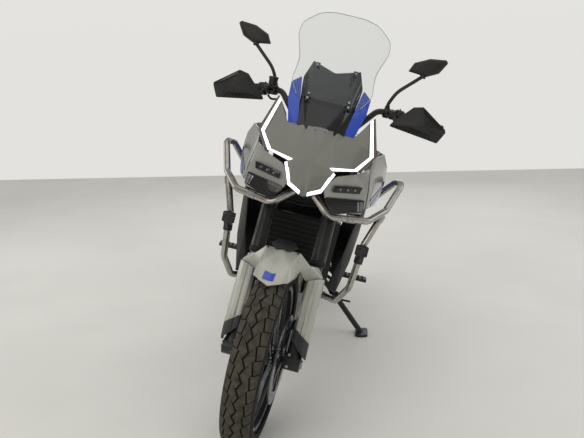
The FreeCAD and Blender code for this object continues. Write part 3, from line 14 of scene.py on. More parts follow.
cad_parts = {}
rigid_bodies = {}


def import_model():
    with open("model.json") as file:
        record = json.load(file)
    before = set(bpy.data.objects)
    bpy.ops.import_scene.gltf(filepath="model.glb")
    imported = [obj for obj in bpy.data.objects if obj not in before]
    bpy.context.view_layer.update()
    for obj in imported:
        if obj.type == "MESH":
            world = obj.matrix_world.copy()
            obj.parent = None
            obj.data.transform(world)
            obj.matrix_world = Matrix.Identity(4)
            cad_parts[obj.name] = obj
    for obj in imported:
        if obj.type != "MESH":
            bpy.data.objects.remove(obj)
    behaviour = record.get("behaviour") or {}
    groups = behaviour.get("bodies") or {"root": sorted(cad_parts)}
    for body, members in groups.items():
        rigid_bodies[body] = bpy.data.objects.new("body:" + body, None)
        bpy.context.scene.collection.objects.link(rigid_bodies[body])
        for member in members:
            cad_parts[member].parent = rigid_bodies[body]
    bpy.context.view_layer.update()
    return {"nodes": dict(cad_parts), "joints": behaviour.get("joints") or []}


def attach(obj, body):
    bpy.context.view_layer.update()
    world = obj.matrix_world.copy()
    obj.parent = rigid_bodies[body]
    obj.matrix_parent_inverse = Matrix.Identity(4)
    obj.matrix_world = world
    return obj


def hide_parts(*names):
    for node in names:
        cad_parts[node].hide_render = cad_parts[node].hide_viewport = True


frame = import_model()
nodes = frame["nodes"]
SIDES = (1, -1)

# sizes shared with the solid parts, in millimetres
wheelbase = 1510
front_radius, front_width, front_bead, front_rim_half = 330, 110, 243, 37
rear_radius, rear_width, rear_bead, rear_rim_half = 321, 150, 218, 56
rake = math.radians(25)
fork_gap = 110

# places: the upright machine, the steered fork, the fork's leg line and the two wheels
joints = {joint["name"]: joint for joint in frame["joints"]}


def upright_from(spin, axle_y, axle_z):
    """The matrix from upright millimetres to the row frame, found from a wheel's axle and the steering axis."""
    across = Vector(joints[spin]["axis"]).normalized()
    steer = Vector(joints["steering"]["axis"]).normalized()
    beside = across.cross(steer)
    back = steer * math.sin(rake) - beside * math.cos(rake)
    up = steer * math.cos(rake) + beside * math.sin(rake)
    turn = Matrix((across, back, up)).transposed().to_4x4()
    axle = turn @ Vector((0, axle_y / 1000, axle_z / 1000))
    return Matrix.Translation(Vector(joints[spin]["pos_m"]) - axle) @ turn @ Matrix.Scale(0.001, 4)


BIKE = upright_from("rear_wheel_spin", wheelbase, rear_radius)
STEERED = upright_from("front_wheel_spin", 0, front_radius)
FRONT_AXLE = STEERED @ Matrix.Translation((0, 0, front_radius))
# each with the body that it rides on
FIXED = (BIKE, "frame")
STEER = (STEERED, "fork")
LEGS = (FRONT_AXLE @ Matrix.Rotation(-rake, 4, "X"), "fork")
FRONT = (FRONT_AXLE, "front_wheel")
REAR = (BIKE @ Matrix.Translation((0, wheelbase, rear_radius)), "rear_wheel")


def turned(k, count):
    """The k-th of count equal turns about a wheel's axle."""
    return Matrix.Rotation(2 * math.pi * k / count, 4, "X")


# materials


def linear(code):
    """An sRGB hex colour as linear values."""
    parts = [int(code[i:i + 2], 16) / 255 for i in (1, 3, 5)]
    return [c / 12.92 if c <= 0.04045 else ((c + 0.055) / 1.055) ** 2.4 for c in parts] + [1.0]


def add(tree, kind, inputs=None, links=None, **settings):
    """One node with its settings, values and incoming links."""
    node = tree.nodes.new("ShaderNode" + kind)
    for name, value in settings.items():
        setattr(node, name, value)
    for name, value in (inputs or {}).items():
        node.inputs[name].default_value = value
    for name, source in (links or {}).items():
        tree.links.new(source, node.inputs[name])
    return node


def ramp(tree, source, colours, stops=(0, 1)):
    """Two colours over a value, linked to its source."""
    node = add(tree, "ValToRGB", links={"Fac": source})
    for element, colour, stop in zip(node.color_ramp.elements, colours, stops):
        element.position, element.color = stop, linear(colour)
    return node.outputs["Color"]


def surface(name, colour, rough, texture=None, bump=(0.05, 0.1), patch=None, colours=None, spread=(0, 0), detail=3.0,
            stretch=None, **sockets):
    """A material: its colour and roughness clouded over patches, and a texture's bump.

    Patch is the clouds' size in mm, spread how far the roughness goes below and above its value, bump the depth in
    mm and the strength, and stretch draws the texture out along each axis.
    """
    material = bpy.data.materials.new(name)
    material.use_nodes = True
    tree = material.node_tree
    shader = tree.nodes["Principled BSDF"]
    sockets = {"Base_Color": linear(colour), "Roughness": rough, **sockets}
    for socket, value in sockets.items():
        shader.inputs[socket.replace("_", " ")].default_value = value
    place = add(tree, "TexCoord").outputs["Object"]
    if patch:
        noise = add(tree, "TexNoise", {"Scale": 1000 / patch, "Detail": detail, "Roughness": 0.6}, {"Vector": place})
        tree.links.new(ramp(tree, noise.outputs["Fac"], colours, (0.36, 0.64)), shader.inputs["Base Color"])
        level = add(tree, "MapRange", {"From Min": 0.3, "From Max": 0.7, "To Min": rough - spread[0],
                                       "To Max": rough + spread[1]}, {"Value": noise.outputs["Fac"]})
        tree.links.new(level.outputs["Result"], shader.inputs["Roughness"])
    if texture:
        kind, output, values, settings = texture
        if stretch:
            place = add(tree, "Mapping", {"Scale": [1000 / (4 * g) for g in stretch]}, {"Vector": place}).outputs[0]
        grain = add(tree, kind, values, {"Vector": place}, **settings)
        depth, strength = bump
        dent = add(tree, "Bump", {"Strength": strength, "Distance": depth / 1000}, {"Height": grain.outputs[output]})
        tree.links.new(dent.outputs["Normal"], shader.inputs["Normal"])
    return material


def noise_of(size, detail=2.0, **values):
    """A noise texture with features of a size in millimetres."""
    return "TexNoise", "Fac", {"Scale": 1000 / size, "Detail": detail, **values}, {}


def cells_of(size, feature):
    return "TexVoronoi", "Distance", {"Scale": 1000 / size}, {"feature": feature}


def ribs_of(size, way):
    return "TexWave", "Fac", {"Scale": 1000 / size, "Distortion": 0.0}, {"bands_direction": way}


def painted_plastic(name, colours, coat=0.8, metallic=0.0, rough=0.35):
    # painted ABS: flat colour under a clear coat, with the faint waviness of sprayed paint
    return surface(name, colours[0], rough, noise_of(3.5, 1.0), (0.05, 0.35), 160, colours, (0.04, 0.05),
                   Metallic=metallic, Coat_Weight=coat, Coat_Roughness=0.06)


def grained_plastic(name, colours, rough=0.5, grain=0.9):
    # moulded polypropylene: dull black with a fine leather grain
    return surface(name, colours[0], rough, cells_of(grain, "SMOOTH_F1"), (0.12, 0.5), 60, colours, (0.06, 0.08))


def powder_coat(name, colours, rough=0.42):
    # powder coated steel: satin with a slight orange peel
    return surface(name, colours[0], rough, noise_of(1.6, 1.5), (0.08, 0.5), 45, colours, (0.05, 0.08),
                   Coat_Weight=0.15, Coat_Roughness=0.3)


def cast_alloy(name, colours, rough=0.55, metallic=0.55):
    # sand cast alloy under thin paint: the mould's grain shows through
    return surface(name, colours[0], rough, noise_of(1.1, 4.0, Roughness=0.7), (0.3, 0.7), 25, colours,
                   (0.1, 0.12), 6.0, Metallic=metallic)


def brushed_metal(name, colours, rough=0.3, stretch=(1, 1, 12)):
    # brushed metal: fine scratches along one way, drawn coarse enough to show
    return surface(name, colours[0], rough, noise_of(250, 3.0), (0.05, 0.4), 40, colours, (0.08, 0.1), stretch=stretch,
                   Metallic=1.0)


def clear_sheet(name, colour, alpha, rough=0.02):
    # thin polycarbonate: mostly see-through, with gloss on both faces
    return surface(name, colour, rough, noise_of(140, 1.0), IOR=1.58, Alpha=alpha, Specular_IOR_Level=0.5)


def lamp_lens(name, colour, transmission):
    # moulded acrylic lens: clear colour with ribs inside
    return surface(name, colour, 0.05, ribs_of(24, "Z"), (0.3, 0.4), IOR=1.49, Transmission_Weight=transmission,
                   Coat_Weight=0.3)


def light_guide():
    # milky acrylic light guide, lit from inside, with the faint steps of its moulded prisms
    material = surface("lit_light_guide", "#f4f6ff", 0.25, Emission_Strength=1.25)
    tree = material.node_tree
    kind, output, values, settings = ribs_of(40, "X")
    place = next(node for node in tree.nodes if node.type == "TEX_COORD").outputs["Object"]
    steps = add(tree, kind, values, {"Vector": place}, **settings)
    glow = ramp(tree, steps.outputs[output], ("#e6eaf6", "#ffffff"))
    tree.links.new(glow, tree.nodes["Principled BSDF"].inputs["Emission Color"])
    return material


MAT = {
    # carbon black rubber, moulded: dull, a little brown with road dust
    "tyre": surface("tyre_rubber", "#1c1b1a", 0.82, noise_of(1.2), (0.25, 0.6), 30, ("#151514", "#262320"),
                    (0.08, 0.08), Specular_IOR_Level=0.35),
    # the worn tops of tread blocks: dust in the rubber's grain gives an olive brown cast
    "tread": surface("tread_rubber", "#4a4337", 0.9, noise_of(1.5, 3.0), (0.4, 0.8), 22, ("#34322b", "#4e4a3f"),
                     (0.08, 0.05), 5.0, Specular_IOR_Level=0.3),
    "mask": painted_plastic("warm_grey_paint", ("#66665c", "#6b6b61"), 0.7, 0.1, 0.36),
    "silver": painted_plastic("silver_grey_paint", ("#93938e", "#9b9b96"), 1.0, 0.3, 0.28),
    "fender": painted_plastic("pale_grey_paint", ("#a6a69d", "#aeaea5"), 0.6, 0.1, 0.32),
    "blue": painted_plastic("blue_paint", ("#0a37a4", "#0f41b6"), 0.8, 0.0, 0.3),
    "gloss_black": painted_plastic("gloss_black_acrylic", ("#060708", "#0a0b0c"), 0.3, 0.0, 0.14),
    "trim": grained_plastic("grained_black_plastic", ("#161617", "#1d1d1e"), 0.46),
    "trim_dark": grained_plastic("dark_grey_plastic", ("#2b2c2e", "#343538")),
    "grip": grained_plastic("grip_rubber", ("#111111", "#191919"), 0.75, 1.6),
    "coat": powder_coat("black_powder_coat", ("#121213", "#1a1a1b")),
    "fork": powder_coat("black_anodised_tube", ("#0d0d0f", "#161618"), 0.28),
    "arm": powder_coat("grey_powder_coat", ("#43444a", "#4d4e53"), 0.4),
    "engine": cast_alloy("black_cast_alloy", ("#1b1b1c", "#252526")),
    "cover": cast_alloy("dark_cast_cover", ("#2b2b2d", "#363638"), 0.42, 0.7),
    "bare": cast_alloy("bare_cast_alloy", ("#77787a", "#8b8c8e"), 0.42, 0.9),
    "steel": brushed_metal("brushed_stainless_tube", ("#a9a6a0", "#bdbab4"), 0.26),
    "plate": brushed_metal("brushed_alloy_sheet", ("#8d8e90", "#a2a3a5"), 0.36, (8, 1, 1)),
    "disc": brushed_metal("ground_disc_steel", ("#85868a", "#9b9ca0"), 0.3, (1, 8, 8)),
    "chain": brushed_metal("oiled_chain_steel", ("#4a463f", "#6b655a"), 0.4, (1, 4, 1)),
    "bolt": brushed_metal("zinc_plated_steel", ("#8f9196", "#a8aaaf"), 0.3, (2, 2, 2)),
    "bronze": painted_plastic("smoked_bronze_trim", ("#4a3a30", "#57463a"), 1.0, 0.5, 0.16),
    "exhaust": brushed_metal("heat_tinted_steel", ("#75716b", "#8e8a83"), 0.3, (1, 6, 1)),
    "rim": powder_coat("black_anodised_rim", ("#151516", "#1d1d1f"), 0.3),
    "clear": clear_sheet("clear_polycarbonate", "#7d8785", 0.08),
    "frost": clear_sheet("polished_screen_edge", "#a9b3b1", 0.7, 0.12),
    "smoked": lamp_lens("smoked_acrylic", "#2b2e33", 0.6),
    "lens": lamp_lens("clear_acrylic_lens", "#dfe4ea", 0.85),
    "red": lamp_lens("red_acrylic", "#a31210", 0.5),
    "light": light_guide(),
    # seat vinyl: pebbled black skin over foam
    "seat": surface("seat_vinyl", "#1a1a1a", 0.6, cells_of(2.2, "DISTANCE_TO_EDGE"), (0.5, 0.5), 50,
                    ("#141414", "#222221"), (0.08, 0.1), Sheen_Weight=0.15),
    "mirror": surface("silvered_glass", "#dfe3e6", 0.02, noise_of(60), (0.02, 0.1), Metallic=1.0),
    "blank": painted_plastic("blank_plate_enamel", ("#d9d9d4", "#e0e0db"), 0.4, 0.0, 0.4),
}


# modelling, as at the bench: everything is deselected, then one piece is worked on


def only(*pieces):
    bpy.ops.object.select_all(action="DESELECT")
    for piece in pieces:
        piece.select_set(True)
    bpy.context.view_layer.objects.active = pieces[0]


def linked(thing):
    bpy.context.scene.collection.objects.link(thing)
    return thing


def made(add_primitive, **settings):
    """A new primitive, by the operator that adds it."""
    bpy.ops.object.select_all(action="DESELECT")
    add_primitive(**settings)
    return bpy.context.active_object


def opened(piece, kind="FACE", action="DESELECT"):
    """Edit mode on one piece, with nothing or everything selected."""
    only(piece)
    bpy.ops.object.mode_set(mode="EDIT")
    bpy.ops.mesh.select_mode(type=kind)
    bpy.ops.mesh.select_all(action=action)


def pick(piece, test, kind="faces"):
    """In edit mode, selects the faces or vertices whose middle and normal pass the test."""
    mesh = bmesh.from_edit_mesh(piece.data)
    for item in getattr(mesh, kind):
        item.select = bool(test(item.co if kind == "verts" else item.calc_center_median(), item.normal))
    mesh.select_flush_mode()
    bmesh.update_edit_mesh(piece.data)


def outwards(piece, facing=None):
    """In edit mode, turns all faces outwards, or a sheet's faces to the side that looks along facing."""
    bpy.ops.mesh.select_all(action="SELECT")
    bpy.ops.mesh.normals_make_consistent(inside=False)
    faces = bmesh.from_edit_mesh(piece.data).faces
    if facing and sum(face.normal.dot(Vector(facing)) * face.calc_area() for face in faces) < 0:
        bpy.ops.mesh.flip_normals()


def closed(piece):
    bpy.ops.object.mode_set(mode="OBJECT")
    return piece


def tapered(piece, value, test=lambda place, way: way.z > 0.9, **settings):
    """The faces that pass the test, such as the top, drawn in."""
    opened(piece)
    pick(piece, test)
    bpy.ops.transform.resize(value=value, **settings)
    return closed(piece)


def modify(piece, kind, **settings):
    """One modifier, applied."""
    only(piece)
    modifier = piece.modifiers.new(kind.title(), kind)
    for name, value in settings.items():
        setattr(modifier, name, value)
    bpy.ops.object.modifier_apply(modifier=modifier.name)
    return piece


def rounded(piece, width, segments=2, angle=30):
    """Edges sharper than the angle get a small round."""
    return modify(piece, "BEVEL", width=width, segments=segments, limit_method="ANGLE",
                  angle_limit=math.radians(angle), harden_normals=False)


def smoothed(piece, angle):
    only(piece)
    bpy.ops.object.shade_smooth_by_angle(angle=math.radians(angle))


def tidied(piece, capped=False):
    """Doubles merged, open ends closed with faces if asked, and all faces turned outwards."""
    opened(piece, "EDGE" if capped else "FACE", "SELECT")
    bpy.ops.mesh.remove_doubles(threshold=0.01)
    if capped:
        bpy.ops.mesh.select_all(action="DESELECT")
        bpy.ops.mesh.select_non_manifold()
        bpy.ops.mesh.edge_face_add()
    outwards(piece)
    return closed(piece)


def joined(pieces):
    """Several pieces as one mesh."""
    only(*pieces)
    if len(pieces) > 1:
        bpy.ops.object.join()
    return bpy.context.view_layer.objects.active


def copied(piece, place):
    """A copy with its own mesh, moved by a matrix."""
    twin = piece.copy()
    twin.data = piece.data.copy()
    linked(twin).matrix_world = place @ piece.matrix_world
    bpy.context.view_layer.update()
    return twin


def flat(piece, place=None):
    """The piece's place, or a new one, goes into its mesh."""
    if place is not None:
        piece.matrix_world = place
    only(piece)
    bpy.ops.object.transform_apply(location=True, rotation=True, scale=True)
    return piece


def mirrored(piece):
    """A twin on the machine's other side, its faces turned outwards again."""
    twin = flat(copied(piece, Matrix.Scale(-1, 4, (1, 0, 0))))
    opened(twin, action="SELECT")
    bpy.ops.mesh.flip_normals()
    return closed(twin)


def both_sides(make, *given):
    """What make builds on the left, and its twin on the right, as one piece."""
    left = make(*given)
    return joined([left, mirrored(left)])


def settled(piece, name, material, replaces=(), smooth=30, at=FIXED):
    """Names a finished piece, or several as one, lays it over with the machine and sets its material and body."""
    piece = flat(joined(piece) if isinstance(piece, list) else piece)
    place, body = at
    flat(piece, place)
    piece.name = piece.data.name = name
    if not piece.data.materials:
        piece.data.materials.append(MAT[material])
    smoothed(piece, smooth)
    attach(piece, body)
    if replaces:
        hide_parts(*replaces)
    return piece


def box(x0, x1, y0, y1, z0, z1):
    """A block between two corners."""
    return flat(made(bpy.ops.mesh.primitive_cube_add, size=1,
                     location=((x0 + x1) / 2, (y0 + y1) / 2, (z0 + z1) / 2),
                     scale=(abs(x1 - x0), abs(y1 - y0), abs(z1 - z0))))


def rod(a, b, radius, sides=24, tip=None):
    """A round bar from a to b, with another radius at b if a tip is given."""
    a, b = Vector(a), Vector(b)
    return flat(made(bpy.ops.mesh.primitive_cone_add, vertices=sides, radius1=radius,
                     radius2=radius if tip is None else tip, depth=(b - a).length, location=(a + b) / 2,
                     rotation=(b - a).to_track_quat("Z", "Y").to_euler()))


def stud(at, way, radius, sides=6, tip=None):
    """A bolt's head or a pin: a bar that starts at a place and goes some way."""
    return rod(at, Vector(at) + Vector(way), radius, sides, tip)


def seed():
    """A new piece of one vertex at the origin, left in edit mode."""
    piece = made(bpy.ops.mesh.primitive_plane_add, size=1, location=(0, 0, 0))
    opened(piece, "VERT", "SELECT")
    bpy.ops.mesh.merge(type="CENTER")
    return piece


def lathe(profile, steps=64, centre=(0, 0, 0), axis=(1, 0, 0)):
    """A ring or body spun round an axis from a profile of (along, radius) points."""
    axis, centre = Vector(axis).normalized(), Vector(centre)
    out = axis.orthogonal().normalized()
    points = [centre + axis * along + out * radius for along, radius in profile]
    piece = seed()
    bpy.ops.transform.translate(value=points[0])
    for before, point in zip(points, points[1:] + points[:1]):
        bpy.ops.mesh.extrude_region_move(TRANSFORM_OT_translate={"value": point - before})
    bpy.ops.mesh.select_all(action="SELECT")
    bpy.ops.mesh.spin(steps=steps, angle=2 * math.pi, center=centre, axis=axis)
    return tidied(closed(piece))


def turning(profile, at, steps=40, axis=(0, 0, 1)):
    """A lathe piece at a place, upright unless an axis is given."""
    return lathe(profile, steps, at, axis)


def pipe(points, radius, sides=16, bend=40):
    """A tube along straight runs joined by rounded corners."""
    points = [Vector(p) for p in points]
    path = [points[0]]
    for before, corner, after in zip(points, points[1:], points[2:]):
        a, b = (before - corner), (after - corner)
        reach = min(bend, 0.45 * a.length, 0.45 * b.length)
        first, last = corner + a.normalized() * reach, corner + b.normalized() * reach
        path += [first.lerp(corner, t).lerp(corner.lerp(last, t), t) for t in (0, 0.25, 0.5, 0.75, 1)]
    path.append(points[-1])
    curve = bpy.data.curves.new("pipe", "CURVE")
    curve.dimensions = "3D"
    run = curve.splines.new("POLY")
    run.points.add(len(path) - 1)
    for point, place in zip(run.points, path):
        point.co = (*place, 1)
    curve.bevel_depth, curve.bevel_resolution, curve.use_fill_caps = radius, sides // 4 - 1, True
    only(linked(bpy.data.objects.new("pipe", curve)))
    bpy.ops.object.convert(target="MESH")
    return bpy.context.view_layer.objects.active


def walled(piece, wall, bevel):
    """A sheet given its wall, inwards unless the wall is negative, and a rounded rim."""
    modify(piece, "SOLIDIFY", thickness=abs(wall), offset=-1 if wall > 0 else 1)
    return rounded(piece, bevel, 2, 50) if bevel else piece


def skin(rows, wall=0, levels=2, crease=(), edge=1.0, bevel=0):
    """A curved panel: a grid whose corners are pulled to the rows' places, smoothed, then given its wall."""
    piece = made(bpy.ops.mesh.primitive_grid_add, x_subdivisions=len(rows[0]) - 1, y_subdivisions=len(rows) - 1,
                 size=1)
    order = sorted(piece.data.vertices, key=lambda v: (round(v.co.y, 4), round(v.co.x, 4)))
    for vertex, place in zip(order, [p for row in rows for p in row]):
        vertex.co = place
    opened(piece, "EDGE")
    mesh = bmesh.from_edit_mesh(piece.data)
    weight = mesh.edges.layers.float.get("crease_edge") or mesh.edges.layers.float.new("crease_edge")
    place_of = {tuple(round(c, 1) for c in p): (i, j) for i, row in enumerate(rows) for j, p in enumerate(row)}
    for line in mesh.edges:
        ends = [place_of[tuple(round(c, 1) for c in v.co)] for v in line.verts]
        if line.is_boundary:
            line[weight] = edge
        for kind, at, amount in crease:
            if all(e[0 if kind == "row" else 1] == at for e in ends):
                line[weight] = amount
    bmesh.update_edit_mesh(piece.data)
    closed(piece)
    if levels:
        modify(piece, "SUBSURF", levels=levels, render_levels=levels)
    return walled(piece, wall, bevel) if wall else piece


def panels(corners, faces, wall, soft=4.0, rim=0.8, both=False, facing=(0, -1, 0)):
    """A moulding of flat faces between named corners: its ridges softened, then given its wall and a rounded rim.

    With both, the piece is continued on the other side of x = 0. Facing is the way that its outside looks.
    """
    piece = seed()
    at = Vector((0, 0, 0))
    for count, place in enumerate(Vector(p) for p in corners.values()):
        if count:
            bpy.ops.mesh.duplicate_move(TRANSFORM_OT_translate={"value": place - at})
        else:
            bpy.ops.transform.translate(value=place)
        at = place
    spots = bmesh.from_edit_mesh(piece.data).verts
    order = {name: min(spots, key=lambda v: (v.co - Vector(place)).length).index for name, place in corners.items()}
    for names in faces:
        bpy.ops.mesh.select_all(action="DESELECT")
        mesh = bmesh.from_edit_mesh(piece.data)
        mesh.verts.ensure_lookup_table()
        for name in names:
            mesh.verts[order[name]].select = True
        mesh.select_flush(True)
        bpy.ops.mesh.edge_face_add()
    outwards(piece, facing)
    closed(piece)
    if both:
        modify(piece, "MIRROR", use_axis=(True, False, False), merge_threshold=0.01)
    if soft:
        modify(piece, "BEVEL", width=soft, segments=3, limit_method="ANGLE", angle_limit=math.radians(7))
    return walled(piece, wall, rim)


def dressed(node, material, width=1.2, segments=2, angle=25, flatten=4, smooth=35):
    """A rounded copy of a solid node, its flats cleared of lines, takes its place."""
    source = nodes[node]
    piece = linked(bpy.data.objects.new(node + "_shell", source.data.copy()))
    piece.data.materials.clear()
    opened(piece, action="SELECT")
    bpy.ops.mesh.remove_doubles(threshold=0.00002)
    if flatten:
        bpy.ops.mesh.dissolve_limited(angle_limit=math.radians(flatten))
    closed(piece)
    if width:
        rounded(piece, width / 1000, segments, angle)
    piece.data.materials.append(MAT[material])
    piece.name = piece.data.name = node + "_shell"
    smoothed(piece, smooth)
    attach(piece, source.parent.name.split(":")[1])
    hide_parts(node)
    return piece


# camera, lamps and floor


def studio():
    """The photograph's camera, a soft studio round it and a pale floor."""
    lens = bpy.data.cameras.new("camera")
    lens.lens, lens.sensor_width = 42.36, 36
    camera = linked(bpy.data.objects.new("camera", lens))
    right, up = Vector((0.9946, 0.0968, -0.0364)), Vector((0.0134, 0.2280, 0.9736))
    turn = Matrix((right, up, right.cross(up))).transposed().to_4x4()
    camera.matrix_world = Matrix.Translation((0.180, -2.9225, 1.304)) @ turn
    bpy.context.scene.camera = camera

    # name, place, target, size in metres, power in watts, colour
    for name, place, target, size, power, colour in (
            ("overhead_softbox", (0.2, -0.6, 3.6), (0, 0, 0.6), (3.6, 3.6), 24, "#ffffff"),
            ("front_softbox", (-1.6, -3.8, 2.1), (0, -0.3, 0.8), (2.4, 1.8), 22, "#fff8f0"),
            ("left_softbox", (3.6, 0.4, 1.9), (0, 0, 0.8), (2.6, 1.8), 16, "#f4f8ff"),
            ("right_softbox", (-3.6, 0.8, 1.9), (0, 0, 0.8), (2.6, 1.8), 16, "#ffffff"),
            ("back_softbox", (0.4, 3.8, 2.2), (0, 0, 0.9), (3.0, 1.6), 18, "#ffffff")):
        lamp = bpy.data.lights.new(name, "AREA")
        lamp.shape, lamp.size, lamp.size_y = "RECTANGLE", size[0], size[1]
        lamp.energy, lamp.color = power, linear(colour)[:3]
        holder = linked(bpy.data.objects.new(name, lamp))
        holder.location = place
        holder.rotation_euler = (Vector(target) - Vector(place)).to_track_quat("-Z", "Y").to_euler()

    # what the camera sees is at full strength, what lights the machine is lower, and its reflections lower still
    world = bpy.data.worlds.new("studio")
    world.use_nodes = True
    bpy.context.scene.world = world
    tree = world.node_tree
    path = add(tree, "LightPath").outputs
    seen = add(tree, "Math", {}, {0: path["Is Camera Ray"], 1: path["Is Transmission Ray"]}, operation="MAXIMUM")
    shine = add(tree, "MapRange", {"To Min": 0.8, "To Max": 0.42}, {"Value": path["Is Glossy Ray"]})
    split = add(tree, "SeparateXYZ", {}, {"Vector": add(tree, "TexCoord").outputs["Generated"]})
    level = add(tree, "Math", {}, {0: shine.outputs["Result"], 1: seen.outputs["Value"]}, operation="MAXIMUM")
    sky = tree.nodes["Background"].inputs
    tree.links.new(ramp(tree, split.outputs["Z"], ("#e3e2de", "#efeeea")), sky["Color"])
    tree.links.new(level.outputs["Value"], sky["Strength"])

    floor = made(bpy.ops.mesh.primitive_plane_add, size=10, location=(0, 0, -0.0006))
    floor.name = floor.data.name = "floor"
    floor.data.materials.append(surface("pale_studio_floor", "#dcdbd7", 0.6, patch=900, colours=("#dad9d5", "#dfdeda"),
                                        spread=(0.05, 0.05), Specular_IOR_Level=0.1))


bpy.context.scene.view_settings.view_transform = "Standard"
studio()


# wheels: each is made at its own axle, X along the axle


def crown_point(radius, width, groove, u, v):
    """A place just under a tyre's groove floor: u along the tread and v across it, in mm."""
    half, sunk = width / 2, 1.5
    turn, bank, height = u / radius, v / half, half - groove - sunk
    out = radius - half + height * math.cos(bank)
    return Vector((height * math.sin(bank), out * math.sin(turn), out * math.cos(turn)))


def tread_block(radius, width, groove, u0, u1, inner, outer, lean):
    """One block: a patch on the groove floor, pulled outwards and chamfered on top.

    It runs from u0 to u1 along the tread. Its inner and outer edges are three places across the tread each, and
    lean is how far its two ends slant along the tread.
    """
    block = made(bpy.ops.mesh.primitive_grid_add, x_subdivisions=2, y_subdivisions=3, size=1)
    for vertex in block.data.vertices:
        s, t = vertex.co.x + 0.5, vertex.co.y + 0.5
        column = round(2 * s)
        v = inner[column] * (1 - t) + outer[column] * t
        vertex.co = crown_point(radius, width, groove, u0 + (u1 - u0) * s + lean * t, v)
    for finish in ("tyre", "tread"):
        block.data.materials.append(MAT[finish])
    opened(block)
    outwards(block, (0, 0, 1))
    bpy.ops.mesh.extrude_region_shrink_fatten(TRANSFORM_OT_shrink_fatten={"value": groove + 0.4})
    block.active_material_index = 1
    bpy.ops.object.material_slot_assign()
    bpy.ops.mesh.inset(thickness=1.0, depth=0.9)
    return closed(block)


def both_ends(right):
    """A lathe profile continued on the other side of x = 0."""
    return right + [(-x, r) for x, r in reversed(right)]


def tyre(name, radius, width, bead, rim_half, pitches, at):
    """Carcass, sidewall rings and herringbone blocks."""
    half, groove = width / 2, 6.5

    def crown(height, degrees):
        return [(height * math.sin(a), radius - half + height * math.cos(a)) for a in map(math.radians, degrees)]

    wall = [(half - 2.2, radius - half + 14), (half - 0.3, radius - half + 7), (half, radius - half - 2),
            (half - 1.2, radius - half - 7), (half - 2.4, radius - half - 8), (half - 4, radius - half - 15),
            (rim_half + 8, bead + 22), (rim_half + 5.4, bead + 19), (rim_half + 5.2, bead + 14),
            (rim_half + 1, bead + 10), (rim_half - 0.4, bead + 8), (rim_half - 0.4, bead + 0.6),
            (rim_half - 9, bead + 0.6), (rim_half - 9, bead + 12), (half - 14, radius - half)]
    carcass = lathe(crown(half - groove, range(-66, 67, 6)) + wall + crown(half - 14, range(72, -73, -12))
                    + [(-x, r) for x, r in reversed(wall)], 128)
    carcass.data.materials.append(MAT["tyre"])

    step = 2 * math.pi * radius / pitches
    gap, point, slant = 4.2, 6.5, 4.5
    edge, mid, lean = half * 1.2, half * 0.56, step * 0.55
    blocks = []
    for s in SIDES:
        u0 = gap / 2 + (0 if s > 0 else step / 2)
        u1 = u0 + step - gap
        zigzag = [s * (gap / 2 + p) for p in (point, -point, point)]
        inside, outside = ([s * (mid + side * gap / 2 + p) for p in (slant, 0, -slant)] for side in (-1, 1))
        blocks.append(tread_block(radius, width, groove, u0, u1, zigzag, inside, lean))
        blocks.append(tread_block(radius, width, groove, u0 + lean, u1 + lean, outside, [s * edge] * 3, lean * 0.3))
    one = joined(blocks)
    tread = joined([one] + [copied(one, turned(k, pitches)) for k in range(1, pitches)])
    settled([carcass, tread], name + "_tyre_treaded", None, [name + "_tyre"], 40, at)


def wheel_rim(name, bead, half, flange_x, at):
    """The channel, bright metal lips that paint a highlight along the rim's edges, spoke nipples and the valve."""
    seat, lip, well = bead - 0.3, half + 0.3, bead - 14.3
    right = [(half - 21, well), (half - 17, well + 3), (half - 13, seat - 1), (half - 11, seat), (lip, seat),
             (lip, seat + 8), (lip + 1.2, seat + 9), (lip + 3.8, seat + 9), (lip + 5, seat + 8), (lip + 5, seat - 3.5),
             (lip + 3.4, seat - 5), (half - 12, seat - 5), (half - 15, seat - 7), (half - 20, well - 4),
             (half - 22, well - 5)]
    settled(lathe(both_ends(right), 128), name + "_rim_channel", "rim", [name + "_rim"], at=at)
    # the lips' bright metal over the black rim is a painted highlight along its edges
    edge = ((4.7, 8.3), (5.3, 7.6), (5.3, -0.6), (4.7, -1))
    highlight_rings = [lathe([(s * (lip + x), seat + r) for x, r in edge], 128) for s in SIDES]
    settled(highlight_rings, name + "_rim_lips", "plate", smooth=35, at=at)

    hub_radius, rim_radius = 37.6, bead - 0.3 - 14 - 5 + 2
    rim_x, step = half - 21 - 2.2 - 1, math.pi / 8
    nipples = []
    for s in SIDES:
        for i in range(16):
            trailing = i % 2
            at_hub = i * step + (step / 2 if s < 0 else 0)
            at_rim = at_hub + (-1 if trailing else 1) * 2.1 * step
            inset = 5.0 if trailing else 0.0
            low = Vector((s * (flange_x + 1.5 - inset / 2), hub_radius * math.cos(at_hub),
                          hub_radius * math.sin(at_hub)))
            top = Vector((s * (rim_x - 2 * inset), rim_radius * math.cos(at_rim), rim_radius * math.sin(at_rim)))
            way = (top - low).normalized()
            nipples.append(rod(top - way * 19, top - way * 2, 3.0, 8, 4.2))
            nipples.append(rod(low - way * 3, low + way * 4, 4.6, 8, 2.8))
    settled(nipples, name + "_spoke_nipples", "bolt", smooth=35, at=at)
    stem = [rod((0, 0, a - well), (0, 0, b - well), r, 12) for a, b, r in ((6, 34, 4), (30, 42, 5))]
    settled(stem, name + "_valve", "trim", smooth=35, at=at)


